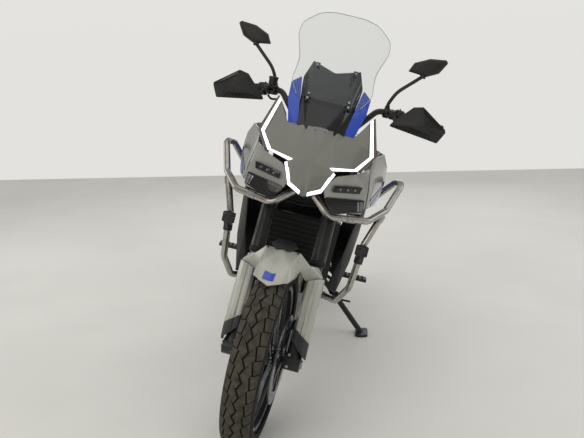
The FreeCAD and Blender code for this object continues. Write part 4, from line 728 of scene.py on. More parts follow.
def disc_ring(x, radius, inner, holes):
    """A brake disc's friction ring, cross drilled."""
    half = 2.5
    ring = lathe([(x - half, inner), (x - half, radius - 0.6), (x - half + 0.6, radius), (x + half - 0.6, radius),
                  (x + half, radius - 0.6), (x + half, inner)], 96)
    drills = []
    for row, along in enumerate((0.24, 0.5, 0.76)):
        r = inner + (radius - inner) * along
        for k in range(holes):
            turn = 2 * math.pi * (k + row / 3) / holes
            drills.append(stud((x - 6, r * math.cos(turn), r * math.sin(turn)), (12, 0, 0), 3.2, 10))
    cutter = joined(drills)
    modify(ring, "BOOLEAN", object=cutter, operation="DIFFERENCE", solver="FAST")
    bpy.data.objects.remove(cutter)
    return ring


def disc_carrier(x, inner, arms=6):
    """The black spider between hub and disc: a ring with tapered arms, and the disc's buttons."""
    bore = 23
    pieces, buttons = [lathe([(x - 3, bore), (x - 3, bore + 16), (x + 3, bore + 16), (x + 3, bore)], 48)], []
    for k in range(arms):
        arm = tapered(box(x - 2.6, x + 2.6, -10, 10, bore + 12, inner + 6), (1, 0.62, 1))
        pieces.append(flat(rounded(arm, 1.2), turned(k, arms)))
        turn = 2 * math.pi * k / arms
        spot = Vector((0, -math.sin(turn), math.cos(turn))) * (inner + 3)
        buttons.append(stud((x - 4.2, spot.y, spot.z), (8.4, 0, 0), 7, 16))
    return joined(pieces), joined(buttons)


def hub_barrel(name, half, x, at):
    """The turned hub between the spoke flanges at x, with its bearings' covers."""
    right = [(half, 10.2), (half, 22), (half - 2, 24), (x + 7, 25), (x + 4, 29), (x + 4, 36), (x + 2.6, 38),
             (x - 2.6, 38), (x - 4, 36), (x - 5, 33), (x - 12, 30), (x - 20, 28)]
    settled(lathe(both_ends(right), 64), name + "_hub_barrel", "cover", at=at)


def front_wheel():
    tyre("front", front_radius, front_width, front_bead, front_rim_half, 44, FRONT)
    wheel_rim("front", front_bead, front_rim_half, 38, FRONT)
    hub_barrel("front", 72, 38, FRONT)
    rings, spiders, buttons = zip(*((disc_ring(s * 68, 155, 112, 30), *disc_carrier(s * 68, 112)) for s in SIDES))
    settled(list(rings), "front_brake_discs", "disc", ["front_hub"], at=FRONT)
    settled(list(spiders), "front_disc_carriers", "coat", at=FRONT)
    settled(list(buttons), "front_disc_buttons", "bolt", at=FRONT)


def sprocket(x=92):
    """The rear sprocket: a ring of teeth, lightening windows and its nuts."""
    teeth_count, root, tip = 47, 85, 92
    pieces = [lathe([(x - 3.2, 60), (x - 3.2, root + 0.5), (x + 3.2, root + 0.5), (x + 3.2, 60)], 94)]
    for k in range(teeth_count):
        tooth = tapered(box(x - 2.4, x + 2.4, -3.4, 3.4, root - 1, tip), (0.7, 0.45, 1))
        pieces.append(flat(tooth, turned(k, teeth_count)))
    return joined(pieces), *disc_carrier(x, 60, 5)


def rear_wheel():
    tyre("rear", rear_radius, rear_width, rear_bead, rear_rim_half, 40, REAR)
    wheel_rim("rear", rear_bead, rear_rim_half, 52, REAR)
    hub_barrel("rear", 98, 52, REAR)
    settled(disc_ring(-92, 120, 84, 24), "rear_brake_disc", "disc", ["rear_hub"], at=REAR)
    spider, knobs = disc_carrier(-92, 84)
    toothed, web, nuts = sprocket()
    settled([spider, web], "rear_disc_carrier", "coat", at=REAR)
    settled([knobs, nuts], "rear_hub_bolts", "bolt", at=REAR)
    settled(toothed, "rear_sprocket", "disc", at=REAR)


front_wheel()
rear_wheel()


# front fender and fork covers

FENDER = {
    "tip": (0, -148, 641), "nose": (38, -140, 643), "edge": (60, -108, 650), "top": (60, 30, 701),
    "mid": (0, 8, 708), "crease": (44, -62, 688), "low": (66, -30, 634), "notch": (71, 28, 648),
    "shoulder": (101, 50, 658), "out": (147, 85, 618), "inner": (88, 71, 600), "back": (122, 110, 646),
}
FENDER_FACES = [("tip", "nose", "crease"), ("tip", "crease", "mid"), ("crease", "top", "mid"),
                ("nose", "edge", "crease"), ("edge", "top", "crease"), ("edge", "low", "notch"),
                ("edge", "notch", "top"), ("top", "notch", "shoulder"), ("shoulder", "notch", "inner"),
                ("shoulder", "inner", "out"), ("shoulder", "out", "back")]
# a cover's outside across its leg: outward from the leg's centre line, and back, with two ribs down its face
COVER_LINE = [(-18, -34), (-10, -50), (-3, -51), (-1.5, -48.6), (9, -48.6), (10.5, -51), (23, -50), (30, -43),
              (37, -33), (37, 3)]
UPWARD = (0, -0.3, 1)


def fender_height(x, y):
    """The beak's surface near its ridge."""
    (_, y0, z0), (_, y1, z1), (x2, y2, z2) = FENDER["tip"], FENDER["mid"], FENDER["crease"]
    rise = (z1 - z0) / (y1 - y0)
    return z0 + rise * (y - y0) + (z2 - z0 - rise * (y2 - y0)) / x2 * abs(x)


def fender():
    beak = panels(FENDER, FENDER_FACES, 4, 5.0, 1.0, True, UPWARD)
    settled(beak, "front_fender_skin", "fender", ["front_fender"], at=STEER)
    x0, x1, y0, y1 = -24, 12, -141, -108
    patch = {(x, y): (x, y, fender_height(x, y) + 1.6) for x in (x0, 0, x1) for y in (y0, y1)}
    square = panels(patch, [((a, y0), (b, y0), (b, y1), (a, y1)) for a, b in ((x0, 0), (0, x1))], 1.4, 0, 0.3,
                    facing=(0, 0, 1))
    settled(square, "fender_blue_square", "blue", smooth=20, at=STEER)
    trim = {"a": (24, 6, 711), "b": (47, 46, 714), "c": (31, 62, 727), "d": (0, 60, 731), "e": (0, 10, 715)}
    settled(panels(trim, ["abcde"], 3.5, 2.0, 0.8, True, UPWARD), "fender_rear_trim", "trim", at=STEER)
    settled([stud((s * 52, 22, 700.5), (0, -1, 4), 4.2, 16) for s in SIDES], "fender_screws", "bolt", at=STEER)


def cover(s, low, high, sweep=0.0):
    """A length of cover on one leg, its ends sloped outward by (up, slope) pairs, its foot swept to its rear."""
    places = []
    for t in (0, 1 / 3, 2 / 3, 1):
        places.append([(s * (fork_gap + x), back + sweep * (1 - t) ** 2 * max(0, x) / 37,
                        (low[0] + low[1] * x) * (1 - t) + (high[0] + high[1] * x) * t) for x, back in COVER_LINE])
    return tidied(skin(places, -3.4 * s, 0, bevel=0.7))


def covers():
    """Pale covers down the legs and the dark blades that end them."""
    low, high, tip = (101.5, -0.73), (283, 0.37), (55, -1.0)
    settled([cover(s, low, high) for s in SIDES], "fork_cover_shells", "fender", ["fork_covers"], 25, LEGS)
    blades = [cover(s, tip, (low[0] - 0.6, low[1]), 16) for s in SIDES]
    settled(blades, "fork_cover_blades", "trim_dark", smooth=25, at=LEGS)
    bands = []
    for x in (s * fork_gap for s in SIDES):
        bands += [turning([(-7, 22.4), (-7, 29), (-5, 30.5), (5, 30.5), (7, 29), (7, 22.4)], (x, 0, 136)),
                  box(x - 8, x + 8, -47, -24, 128, 146)]
    settled(bands, "fork_cover_clamps", "trim", at=LEGS)


def fork_details():
    """Seals, caps and pinch bolts on the legs, with the axle's ends."""
    seals, caps, bolts = [], [], []
    for s in SIDES:
        x = s * fork_gap
        leg = (x, 0, 0)
        seals += [turning([(340, 22.3), (340, 27.5), (343, 29.5), (352, 29.8), (356, 29), (358, 27.2), (358, 22.3)],
                          leg, 48),
                  turning([(112, 22.3), (112, 26.5), (116, 27.8), (122, 27.2), (126, 24), (130, 22.3)], leg, 48)]
        caps.append(turning([(778, 0.4), (778, 24), (782, 26), (788, 26), (790, 24), (790, 15), (794, 14), (794, 0.4)],
                            leg, 48))
        bolts += [stud((x - s * 14, -27, up), (0, -6, 0), 6) for up in (22, -18)]
        bolts += [stud((s * 136, 0, 0), (s * 8, 0, 0), 15), stud((s * 136, 0, 0), (s * 3, 0, 0), 19, 32)]
        bolts += [stud((x + s * off, -28, up), (0, -6.5, 0), 5.5, 16) for up in (584, 758) for off in (4, -10)]
    settled(seals, "fork_seals", "grip", at=LEGS)
    settled(caps, "fork_caps", "blue", at=LEGS)
    settled([rounded(b, 0.8, 1, 40) for b in bolts], "fork_bolts", "bolt", at=LEGS)


def caliper_details():
    """Piston covers, bridge bolts and the hose unions on both front calipers."""
    pistons, bolts = [], []
    for s in SIDES:
        pistons += [turning([(0, 0.4), (0, 13), (3, 13), (5, 11), (5, 7), (3.6, 6), (3.6, 0.4)], (s * 103, 84, up), 32,
                            (s, 0, 0)) for up in (62, 90, 118)]
        bolts += [stud((s * 103, 104, up), (s * 5, 0, 0), 5.5) for up in (48, 132)]
        bolts += [stud((s * 96, 20, up), (0, -8, 0), 6, 16) for up in (60, 102)]
        bolts.append(stud((s * 90, 90, 140), (0, 0, 9), 7))
    settled(pistons, "caliper_pistons", "cover", at=LEGS)
    settled(bolts, "caliper_bolts", "bolt", at=LEGS)


fender()
covers()
fork_details()
caliper_details()
for node, width in (("fork_lowers", 2.0), ("front_calipers", 4.0), ("triple_clamps", 3.0)):
    dressed(node, "coat", width, 3)


# nose: mask, light guides, lamp pods, screens

MASK = {
    "tip": (172, 320, 1168), "side": (201, 215, 1053), "low": (158, 148, 1004), "inner": (75, 110, 992),
    "upper": (120, 250, 1097), "notch": (55, 220, 1092), "chin": (57, 60, 918), "point": (13, 40, 900),
    "beak": (0, 38, 893), "ridge": (0, 228, 1108), "brow": (0, 118, 1002), "shelf": (24, 219, 1107),
}
MASK_FACES = [("tip", "side", "upper"), ("side", "low", "upper"), ("low", "inner", "upper"),
              ("inner", "notch", "upper"), ("inner", "brow", "notch"), ("brow", "shelf", "notch"),
              ("brow", "ridge", "shelf"), ("inner", "chin", "brow"), ("chin", "point", "brow"),
              ("point", "beak", "brow")]
POD = {
    "in_top": (94, 116, 972), "out_top": (160, 152, 990), "side_top": (200, 186, 1012), "side": (212, 176, 930),
    "side_low": (216, 176, 880), "out_low": (208, 160, 858), "in_low": (106, 120, 845), "in_mid": (76, 112, 884),
    "in": (62, 84, 930),
}
POD_FACES = [("in", "in_mid", "in_top"), ("in_top", "in_mid", "out_top"), ("in_mid", "side", "out_top"),
             ("out_top", "side", "side_top"), ("in_mid", "in_low", "side"), ("in_low", "out_low", "side_low"),
             ("in_low", "side_low", "side")]
LOWER_LAMP = ((86, 113, 884), (202, 163, 896), (207, 164, 866), (112, 116, 847))
UPPER_LAMP = ((103, 114, 938), (184, 152, 946), (181, 150, 930), (101, 114, 922))


def across(quad, u, v, lift=0.0):
    """A place in a four-cornered field: u from its first corner to its second, v down to the others, lifted out."""
    a, b, c, d = (Vector(p) for p in quad)
    out = (b - a).cross(d - a).normalized()
    out = out if out.y < 0 else -out
    return (a * (1 - u) + b * u) * (1 - v) + (d * (1 - u) + c * u) * v + out * lift


def sheet(corners, wall, rim, **more):
    """One flat face with a wall and a rounded rim."""
    corners = dict(enumerate(corners))
    return panels(corners, [tuple(corners)], wall, 0, rim, **more)


def field(quad, u0, u1, v0, v1, lift, wall, rim=0.6):
    """A raised flat patch of a four-cornered field."""
    return sheet([across(quad, u, v, lift) for u, v in ((u0, v0), (u1, v0), (u1, v1), (u0, v1))], wall, rim)


def mask():
    settled(panels(MASK, MASK_FACES, 4, 5.0, 1.2, True), "nose_mask_skin", "mask", ["nose_mask"])
    clips = [stud((s * x, y, z), (0, -3, 1), 3.2, 16) for s in SIDES for x, y, z in ((17, 212, 1097), (64, 214, 1083))]
    settled(clips, "mask_clips", "bolt")


def strip(names, inset, width, lift, depth, rim):
    """A band along the mask's edge: inset from it towards the brow, proud of it by lift."""
    points = [Vector(MASK[n]) for n in names]
    if names[0] == "inner":
        # the short run starts clear of the long one
        points[0] += Vector((12, -2, -12))
    middle = Vector(MASK["brow"]) + Vector((0, 40, 20))
    corners = {}
    for i, p in enumerate(points):
        way = (middle - p).normalized()
        for side in (0, 1):
            corners[(i, side)] = p + way * (inset + side * width) + Vector((0, -lift, 1))
    faces = [((i - 1, 0), (i, 0), (i, 1), (i - 1, 1)) for i in range(1, len(points))]
    return panels(corners, faces, depth, 0, rim)


def light_guides():
    """The lit strips round the mask, with smoked trim outside them."""
    runs = (["tip", "side", "low", "inner"], ["inner", "chin", "point"])
    lit = [both_sides(strip, run, -1, 14, 5.5, 5, 1.2) for run in runs]
    settled(lit, "light_guides", "light", ["light_strips"])
    settled([both_sides(strip, run, -3, 18, 2.4, 6, 0.8) for run in runs], "light_guide_beds", "trim_dark")
    settled(both_sides(strip, ["tip", "side", "low"], -13, 11, 0, 9, 1.5), "mask_outer_trim", "bronze")


def lamp_pods():
    settled(both_sides(panels, POD, POD_FACES, 4, 6.0, 1.0), "lamp_pod_skins", "silver", ["lamp_housings"])
    windows = both_sides(field, UPPER_LAMP, -0.08, 1.06, -0.25, 1.25, 0.8, 3)
    settled(windows, "upper_lamp_windows", "gloss_black", ["headlamps"])
    cells, glints = [], []
    for start in (0.06, 0.37, 0.68):
        cells.append(both_sides(field, UPPER_LAMP, start, start + 0.24, 0.05, 0.95, 1.6, 1.2, 0.3))
        # a bright metal stud stands proud of each cell's lens as a painted glint
        low, high = (across(UPPER_LAMP, start + 0.12, 0.5, lift) for lift in (1.2, 3.4))
        glints.append(both_sides(rod, low, high, 4.2, 20, 3.2))
    settled(cells, "upper_lamp_cells", "smoked")
    settled(glints, "upper_lamp_reflectors", "plate")

    ribs = [both_sides(field, LOWER_LAMP, 0.03, 0.8, v, v + 0.09, 5.4, 2.6, 0.5)
            for v in (0.04 + i * 0.2 for i in range(5))]
    settled(ribs, "lower_lamp_ribs", "trim")
    for name, finish, patch in (
            ("frames", "gloss_black", (-0.07, 1.05, -0.32, 1.12, 3.0, 7, 1.4)),
            # the bright metal strip near each lamp's outer end is a painted highlight
            ("brightwork", "bolt", (0.84, 0.9, -0.1, 0.98, 5.0, 2.4, 0.6)),
            ("side_lenses", "lens", (0.92, 1.02, -0.12, 1.0, 5.2, 2.4, 0.8))):
        settled(both_sides(field, LOWER_LAMP, *patch), "lower_lamp_" + name, finish)


mask()
light_guides()
lamp_pods()


# flanks behind the pods

FLANK = [
    [(204, 226, 1046), (203, 196, 1006), (218, 190, 930), (221, 190, 872)],
    [(248, 350, 1055), (272, 385, 1008), (280, 400, 942), (262, 345, 862)],
    [(226, 520, 1046), (252, 560, 990), (256, 580, 920), (238, 540, 838)],
    [(190, 640, 1010), (208, 700, 950), (208, 700, 880), (196, 640, 812)],
]


def flank_point(row, drop, lift):
    """A place on the flank: rows count backwards, drop downwards, both may lie between the listed ones."""
    i, j = min(int(row), 2), min(int(drop), 2)
    s, t = row - i, drop - j
    p = [Vector(FLANK[i + a][j + b]) for a, b in ((0, 0), (1, 0), (0, 1), (1, 1))]
    spot = (p[0] * (1 - s) + p[1] * s) * (1 - t) + (p[2] * (1 - s) + p[3] * s) * t
    out = (p[1] - p[0]).cross(p[2] - p[0]).normalized()
    return spot + (out if out.x > 0 else -out) * lift


def flank():
    rows = [[flank_point(r / 2, d / 2, 0) for d in range(7)] for r in range(7)]
    return tidied(skin(rows, 3.5, 1, [("col", 2, 0.6), ("row", 2, 0.35)], bevel=0.8))


def flank_band(line, wall, form):
    """A strip wrapped on the flank's form, from (row, upper drop, lower drop) stations."""
    rows = []
    for (r0, a0, b0), (r1, a1, b1) in zip(line, line[1:] + line[-1:]):
        for k in range(max(1, round((r1 - r0) / 0.15))):
            u = k * 0.15 / max(r1 - r0, 0.15)
            r, a, b = r0 + (r1 - r0) * u, a0 + (a1 - a0) * u, b0 + (b1 - b0) * u
            rows.append([flank_point(r, a * (1 - t) + b * t, 3) for t in (0, 0.33, 0.67, 1)])
    piece = modify(skin(rows, levels=1), "SHRINKWRAP", target=form, wrap_mode="ABOVE_SURFACE", offset=1.0)
    modify(piece, "SOLIDIFY", thickness=wall, offset=-1)
    return tidied(rounded(piece, 0.3, 2, 50))


def flanks():
    form = flank()
    for name, finish, line in (
            ("flank_blue_bands", "blue", [(0.35, 2.72, 2.9), (1.0, 2.15, 2.8), (1.6, 1.9, 2.6), (2.3, 1.7, 2.2)]),
            ("flank_dark_bands", "gloss_black", [(0.2, 2.5, 2.62), (1.0, 1.85, 2.08), (1.6, 1.55, 1.83),
                                                 (2.4, 1.35, 1.6)])):
        settled(both_sides(flank_band, line, 1.3, form), name, finish, smooth=35)
    vents = [both_sides(flank_band, [(r, 0.5, 1.1), (r + 0.1, 0.45, 1.05)], 1.3, form)
             for r in (1.25 + i * 0.2 for i in range(4))]
    settled(vents, "flank_vents", "trim", smooth=35)
    settled([form, mirrored(form)], "flank_skins", "silver", ["side_panels"], 35)


flanks()


# screens

# height, place backwards, half width and bow of each row of the clear screen
SCREEN = [
    (1196, 296, 118, 32), (1240, 324, 148, 42), (1318, 398, 142, 46), (1405, 460, 174, 50), (1448, 486, 168, 44),
    (1494, 508, 112, 26), (1506, 510, 58, 14),
]
INNER_SCREEN = {
    "top": (80, 358, 1290), "side": (112, 368, 1260), "low": (86, 234, 1096), "notch": (55, 221, 1093),
    "ridge": (0, 229, 1109), "crown": (0, 346, 1296),
}
INNER_FACES = [("low", "notch", "side"), ("notch", "top", "side"), ("notch", "ridge", "top"), ("ridge", "crown", "top")]
BLUE = {
    "low_in": (83, 236, 1097), "low_out": (120, 250, 1098), "mid_out": (143, 306, 1175), "top_out": (146, 330, 1232),
    "top_in": (115, 346, 1258),
}
BLUE_FACES = [("low_in", "low_out", "mid_out"), ("low_in", "mid_out", "top_in"), ("mid_out", "top_out", "top_in")]


def screens():
    def row(z, y, half, bow, columns, proud=0):
        return [(half * f, y - bow * (1 - f * f) + proud, z) for f in columns]

    rows = [row(*line, [i / 4 for i in range(-4, 5)]) for line in SCREEN]
    settled(tidied(skin(rows, 3.6, 2, edge=0.75)), "windscreen_sheet", "clear", ["windscreen"], 60)
    rim = [(half * 0.995, y, z) for z, y, half, bow in SCREEN] + row(*SCREEN[-1], (0.5, 0), 1)
    settled(both_sides(pipe, rim, 1.5, 8, 22), "windscreen_edge", "frost", smooth=50)
    inner = [panels(INNER_SCREEN, INNER_FACES, 4, 5.0, 1.0, True)]
    bolts = []
    for s in SIDES:
        low, high = Vector((s * 74, 282, 1180)), Vector((s * 70, 382, 1318))
        inner.append(sheet([at + Vector((x, 0, 0)) for at, x in ((low, -9), (low, 9), (high, 8), (high, -8))], 13, 2.0))
        bolts += [stud((s * x, y, z), (0, -6, 4), 6, 20, 4.5)
                  for x, y, z in ((74, 272, 1190), (71, 366, 1306), (73, 284, 1206))]
    settled(inner, "inner_screen_skin", "gloss_black", ["inner_screen"])
    settled(both_sides(panels, BLUE, BLUE_FACES, 4, 3.0, 1.0), "blue_screen_skins", "blue", ["blue_screen_panels"])
    settled(bolts, "screen_bolts", "bolt")


def dashboard():
    tilt = Matrix.Translation((0, 386, 1218)) @ Matrix.Rotation(math.radians(-28), 4, "X")
    shell = flat(rounded(box(-86, 86, -9, 7, -46, 46), 7, 4, 40), tilt)
    settled(shell, "dash_shell", "trim", ["dash"], 40)
    settled(flat(rounded(box(-76, 76, 7, 9, -38, 38), 1.5, 3, 40), tilt), "dash_glass", "gloss_black", smooth=40)


def nose_carrier():
    """The dark carrier behind the mask, with its plate's top corners drawn in."""
    piece = dressed("nose_frame", "coat", 0)
    back = BIKE.inverted()
    for s in SIDES:
        opened(piece, "VERT")
        pick(piece, lambda place, way: s * (back @ place).x > 100 and (back @ place).z > 1030, "verts")
        bpy.ops.transform.translate(value=BIKE.to_3x3() @ Vector((-12 * s, -20, -42)))
        closed(piece)


screens()
dashboard()
nose_carrier()


# bars, guards, mirrors and controls

BAR_BEND, BAR_END = Vector((186, 446, 1190)), Vector((412, 512, 1166))
BAR_WAY = (BAR_END - BAR_BEND).normalized()
LEVER_REACH = Vector((0, -46, 6))
GUARD = {
    "tip": (441, 392, 1172), "tip_low": (438, 400, 1152), "top": (346, 386, 1238), "top_in": (312, 392, 1230),
    "in": (246, 392, 1160), "low_in": (240, 394, 1146), "low": (420, 388, 1120), "mid": (366, 374, 1170),
}
GUARD_FACES = [(a, "mid", b) for a, b in (("top", "tip"), ("tip", "tip_low"), ("tip_low", "low"), ("low", "low_in"),
                                          ("low_in", "in"), ("in", "top_in"), ("top_in", "top"))]
# a mirror's outline, and its middle
MIRROR = [(262, 1350), (278, 1384), (330, 1408), (388, 1414), (396, 1404), (372, 1362), (330, 1342)]
MIRROR_MID = (330, 1378)
MIRROR_BALL = Vector((318, 452, 1340))


def off(x, y, z):
    return Vector((x, y, z))


def bar_at(along, aside=(0, 0, 0)):
    return BAR_BEND + BAR_WAY * along + Vector(aside)


def on_bar(profile, at=BAR_BEND, steps=40):
    return lathe(profile, steps, at, BAR_WAY)


def guard_shell():
    return panels(GUARD, GUARD_FACES, 5, 3.0, 1.2)


def guard_lip():
    """The dark gloss band along the guard's upper edge."""
    top = [Vector(GUARD[n]) + off(0, -3, 0) for n in ("top", "tip")]
    low = [p + (Vector(GUARD["mid"]) + off(0, -2, 0) - p) * 0.22 for p in top]
    return sheet([top[0], top[1], low[1], low[0]], 2, 0.6)


def guard_ribs():
    """Ribs in the guard's lower slot."""
    outer, inner, middle = (Vector(GUARD[n]) for n in ("low", "low_in", "mid"))
    ribs = []
    for t in (0.12 + 0.09 * i for i in range(9)):
        a = inner * (1 - t) + outer * t
        b = a + (middle - a) * 0.42
        ribs.append(rod(a + (b - a) * 0.12 + off(0, -3, 0), b + off(0, -3.4, 0), 2.4, 8))
    return joined(ribs)


def guard_mounts():
    cap = stud(BAR_END, BAR_WAY * 22, 15, 32)
    stay = pipe([BAR_END + BAR_WAY * 12, BAR_END + BAR_WAY * 14 + off(8, -50, 4), (436, 402, 1162)], 7, 12, 20)
    arm = pipe([bar_at(56) + LEVER_REACH, bar_at(60) + LEVER_REACH + off(8, -8, -10), (262, 398, 1158)], 7, 12, 16)
    return joined([rounded(cap, 2.5, 3, 40), stay, arm])


def mirror_ring(grow, y):
    cx, cz = MIRROR_MID
    return [(cx + (x - cx) * grow, y, cz + (z - cz) * grow) for x, z in MIRROR]


def mirror_head():
    """The housing: the outline pulled back to a rounded bowl."""
    rings = [mirror_ring(grow, MIRROR_BALL.y - 13 + depth)
             for grow, depth in ((0.55, -3), (0.86, 0), (1.0, 9), (1.0, 20), (0.97, 25))]
    return rounded(tidied(skin([ring + ring[:1] for ring in rings], levels=0), True), 4.0, 4, 12)


def mirror_pane():
    return sheet(mirror_ring(0.88, MIRROR_BALL.y + 12.6), 1.2, 0.4, facing=(0, 1, 0))


def mirror_stem():
    at = bar_at(32)
    ring = on_bar([(-10, 11.2), (-10, 18), (-8, 19.5), (8, 19.5), (10, 18), (10, 11.2)], at)
    stem = pipe([at + off(0, -2, 14), at + off(0, -4, 34), (238, 446, 1268), MIRROR_BALL + off(0, 0, 2)], 6.5, 16, 34)
    knuckle = turning([(0, 0.4), (0, 9), (4, 11), (14, 11), (18, 9), (18, 0.4)], MIRROR_BALL + off(0, 0, -6), 32)
    return joined([ring, stem, knuckle, stud(at + off(0, -3, 17), (0, 0, 10), 10)])


def switch_block():
    """The switch housing with its two halves' seam and buttons."""
    body = on_bar([(66, 11.2), (66, 21), (69, 24), (80.5, 24.6), (81.5, 23.6), (82.5, 24.6), (95, 24), (98, 21),
                   (98, 11.2)])
    pod = flat(rounded(box(-12, 12, -8, 8, -7, 7), 3, 3, 40),
               Matrix.Translation(bar_at(82, (0, 16, 12))) @ Matrix.Rotation(math.radians(-35), 4, "X"))
    buttons = [stud(bar_at(82 + x, (0, 18, z)), (0, 7, 3), 3.6, 16, 3) for x, z in ((-6, 16), (6, 16), (0, 22))]
    return joined([body, pod] + buttons)


def lever_perch():
    pivot = bar_at(56) + LEVER_REACH
    perch = on_bar([(46, 11.2), (46, 17), (49, 19), (63, 19), (66, 17), (66, 11.2)])
    arm = rod(bar_at(56, (0, -10, 2)), pivot, 8, 20)
    return joined([perch, arm, rounded(stud(pivot - off(0, 0, 11), (0, 0, 22), 10, 24), 1.5, 2, 40)])


def lever_blade():
    """The lever's flattened blade with its balled end."""
    pivot = bar_at(56) + LEVER_REACH
    end = pivot + BAR_WAY * 146 + off(0, 8, -4)
    blade = pipe([pivot, pivot + BAR_WAY * 60 + off(0, -4, 0), end], 5.6, 16, 30)
    tapered(blade, (1, 1, 0.8), lambda place, way: True, center_override=tuple(pivot))
    return joined([blade, on_bar([(-8, 0.3), (-7, 4), (-3, 7.6), (1, 8), (5, 6), (7.6, 2), (8, 0.3)], end, 24)])


def grip():
    """A ribbed rubber grip with its flanges."""
    low, high, count = 98.5, (BAR_END - BAR_BEND).length - 6, 14
    profile = [(low, 11.2), (low, 19.5), (low + 4, 19.5), (low + 6, 16.5)]
    for i in range(count):
        at = low + 9 + (high - low - 18) * i / count
        profile += [(at, 16.6), (at + 1.4, 15.2), (at + 3.0, 15.2), (at + 4.4, 16.6)]
    return on_bar(profile + [(high - 6, 16.6), (high - 4, 18), (high, 18), (high, 11.2)])


def brake_pot():
    """The front brake's reservoir on the right, with its lid and spout."""
    hold = bar_at(56)
    centre = off(-hold.x + 20, hold.y - 46, hold.z + 20)
    pot = turning([(0, 0.4), (0, 14), (3, 16.6), (24, 16.8), (25, 18), (31, 18), (32.5, 16.5), (32.5, 0.4)], centre)
    return joined([pot, rod(centre + off(-2, 0, 4), off(-hold.x, hold.y - 46, hold.z + 4), 6, 16)])


def cockpit():
    for make, name, finish, replaces, smooth in (
            (guard_shell, "hand_guard_shells", "trim", ["hand_guards"], 30),
            (guard_lip, "hand_guard_bands", "gloss_black", [], 30), (guard_ribs, "hand_guard_ribs", "trim", [], 40),
            (guard_mounts, "hand_guard_mounts", "coat", [], 40), (mirror_head, "mirror_heads", "trim", ["mirrors"], 40),
            (mirror_pane, "mirror_panes", "mirror", [], 20), (mirror_stem, "mirror_stems", "coat", [], 40),
            (switch_block, "switch_blocks", "trim", ["controls"], 40), (lever_perch, "lever_perches", "coat", [], 40),
            (lever_blade, "levers", "cover", [], 40), (grip, "grip_sleeves", "grip", ["grips"], 40)):
        settled(both_sides(make), name, finish, replaces, smooth, STEER)
    settled(brake_pot(), "brake_reservoir", "trim", smooth=40, at=STEER)
    dressed("handlebar", "coat", 0, flatten=0, smooth=45)


cockpit()


# crash bars and lamps on them

GUARD_PATH = [(292, 300, 845), (254, 284, 720), (250, 280, 646), (244, 300, 540), (212, 380, 448), (112, 520, 420)]
UPPER_PATH = [(36, 146, 884), (100, 122, 830), (240, 200, 830), (300, 300, 862), (342, 402, 956), (322, 452, 950),
              (238, 620, 800), (150, 640, 792)]
FOG = Vector((250, 250, 708))


def collar(path, i, t, radius, length):
    """A clamp ring on a tube between two of its corners."""
    a, b, h = Vector(path[i]), Vector(path[i + 1]), length / 2
    return lathe([(-h, 12.6), (-h, radius - 1), (-h + 1, radius), (h - 1, radius), (h, radius - 1), (h, 12.6)], 36,
                 a.lerp(b, t), b - a)


def bar_fittings():
    return joined([collar(GUARD_PATH, 0, 0.12, 15, 26), collar(GUARD_PATH, 4, 0.55, 15.5, 30),
                   collar(UPPER_PATH, 1, 0.55, 14.2, 34), collar(UPPER_PATH, 6, 0.3, 15.5, 26)])


def bar_bolts():
    return joined([stud(Vector(path[i]).lerp(Vector(path[i + 1]), t) + off(0, -12, 0), (0, -6, 0), 5.5)
                   for path, i, t in ((UPPER_PATH, 1, 0.5), (UPPER_PATH, 1, 0.62), (GUARD_PATH, 4, 0.55))])


def fog_box(x, y0, y1, z, half, width, segments=2):
    """A rounded block round the lamp's middle line, z above it and half as high."""
    block = box(FOG.x - x, FOG.x + x, FOG.y + y0, FOG.y + y1, FOG.z + z - half, FOG.z + z + half)
    return rounded(block, width, segments, 40) if width else block


def fog_body():
    """A square lamp with rounded corners and deep ribs over its back."""
    body = tapered(fog_box(25, -13, 18, 0, 22, 0), (0.7, 1, 0.7), lambda place, way: way.y > 0.9,
                   center_override=tuple(FOG))
    return joined([rounded(body, 7, 4, 40)] + [fog_box(21, 6, 21, z, 1.2, 0.8, 1) for z in (-12, -6, 0, 6, 12)])


def fog_bars():
    return joined([fog_box(23, -17.5, -12, z, 2, 1.2) for z in (-14, -5, 5, 14)] + [fog_box(3, -17, -12, 0, 18, 1)])


def fog_lens():
    return fog_box(20, -14.6, -12, 0, 17, 1.2)


def fog_clamp():
    foot = pipe([FOG + off(0, 2, -20), FOG + off(0, 6, -34), FOG + off(0, 22, -52)], 7, 14, 12)
    return joined([foot, collar(GUARD_PATH, 1, 0.8, 17, 24), stud(FOG + off(-15, 3, -25), (30, 0, 0), 5, 20)])


def bar_lamps():
    for make, name, finish, replaces in (
            (bar_fittings, "crash_bar_collars", "steel", []), (fog_body, "fog_lamp_bodies", "trim", ["fog_lamps"]),
            (fog_bars, "fog_lamp_bars", "trim_dark", []), (fog_lens, "fog_lamp_lenses", "smoked", []),
            (fog_clamp, "fog_lamp_clamps", "coat", [])):
        settled(both_sides(make), name, finish, replaces, 40)
    settled(both_sides(bar_bolts), "crash_bar_bolts", "bolt")


bar_lamps()


# tank, seats, tail and rack

# stations of the tank: y, heights of underside, middle, shoulder and top, half widths of underside, middle and top
TANK = [
    (462, 905, 960, 1010, 1052, 60, 104, 46),
    (560, 842, 905, 1040, 1100, 84, 178, 82),
    (700, 812, 880, 1030, 1100, 88, 186, 92),
    (812, 812, 872, 970, 1036, 80, 156, 72),
    (866, 812, 850, 892, 930, 70, 118, 60),
]
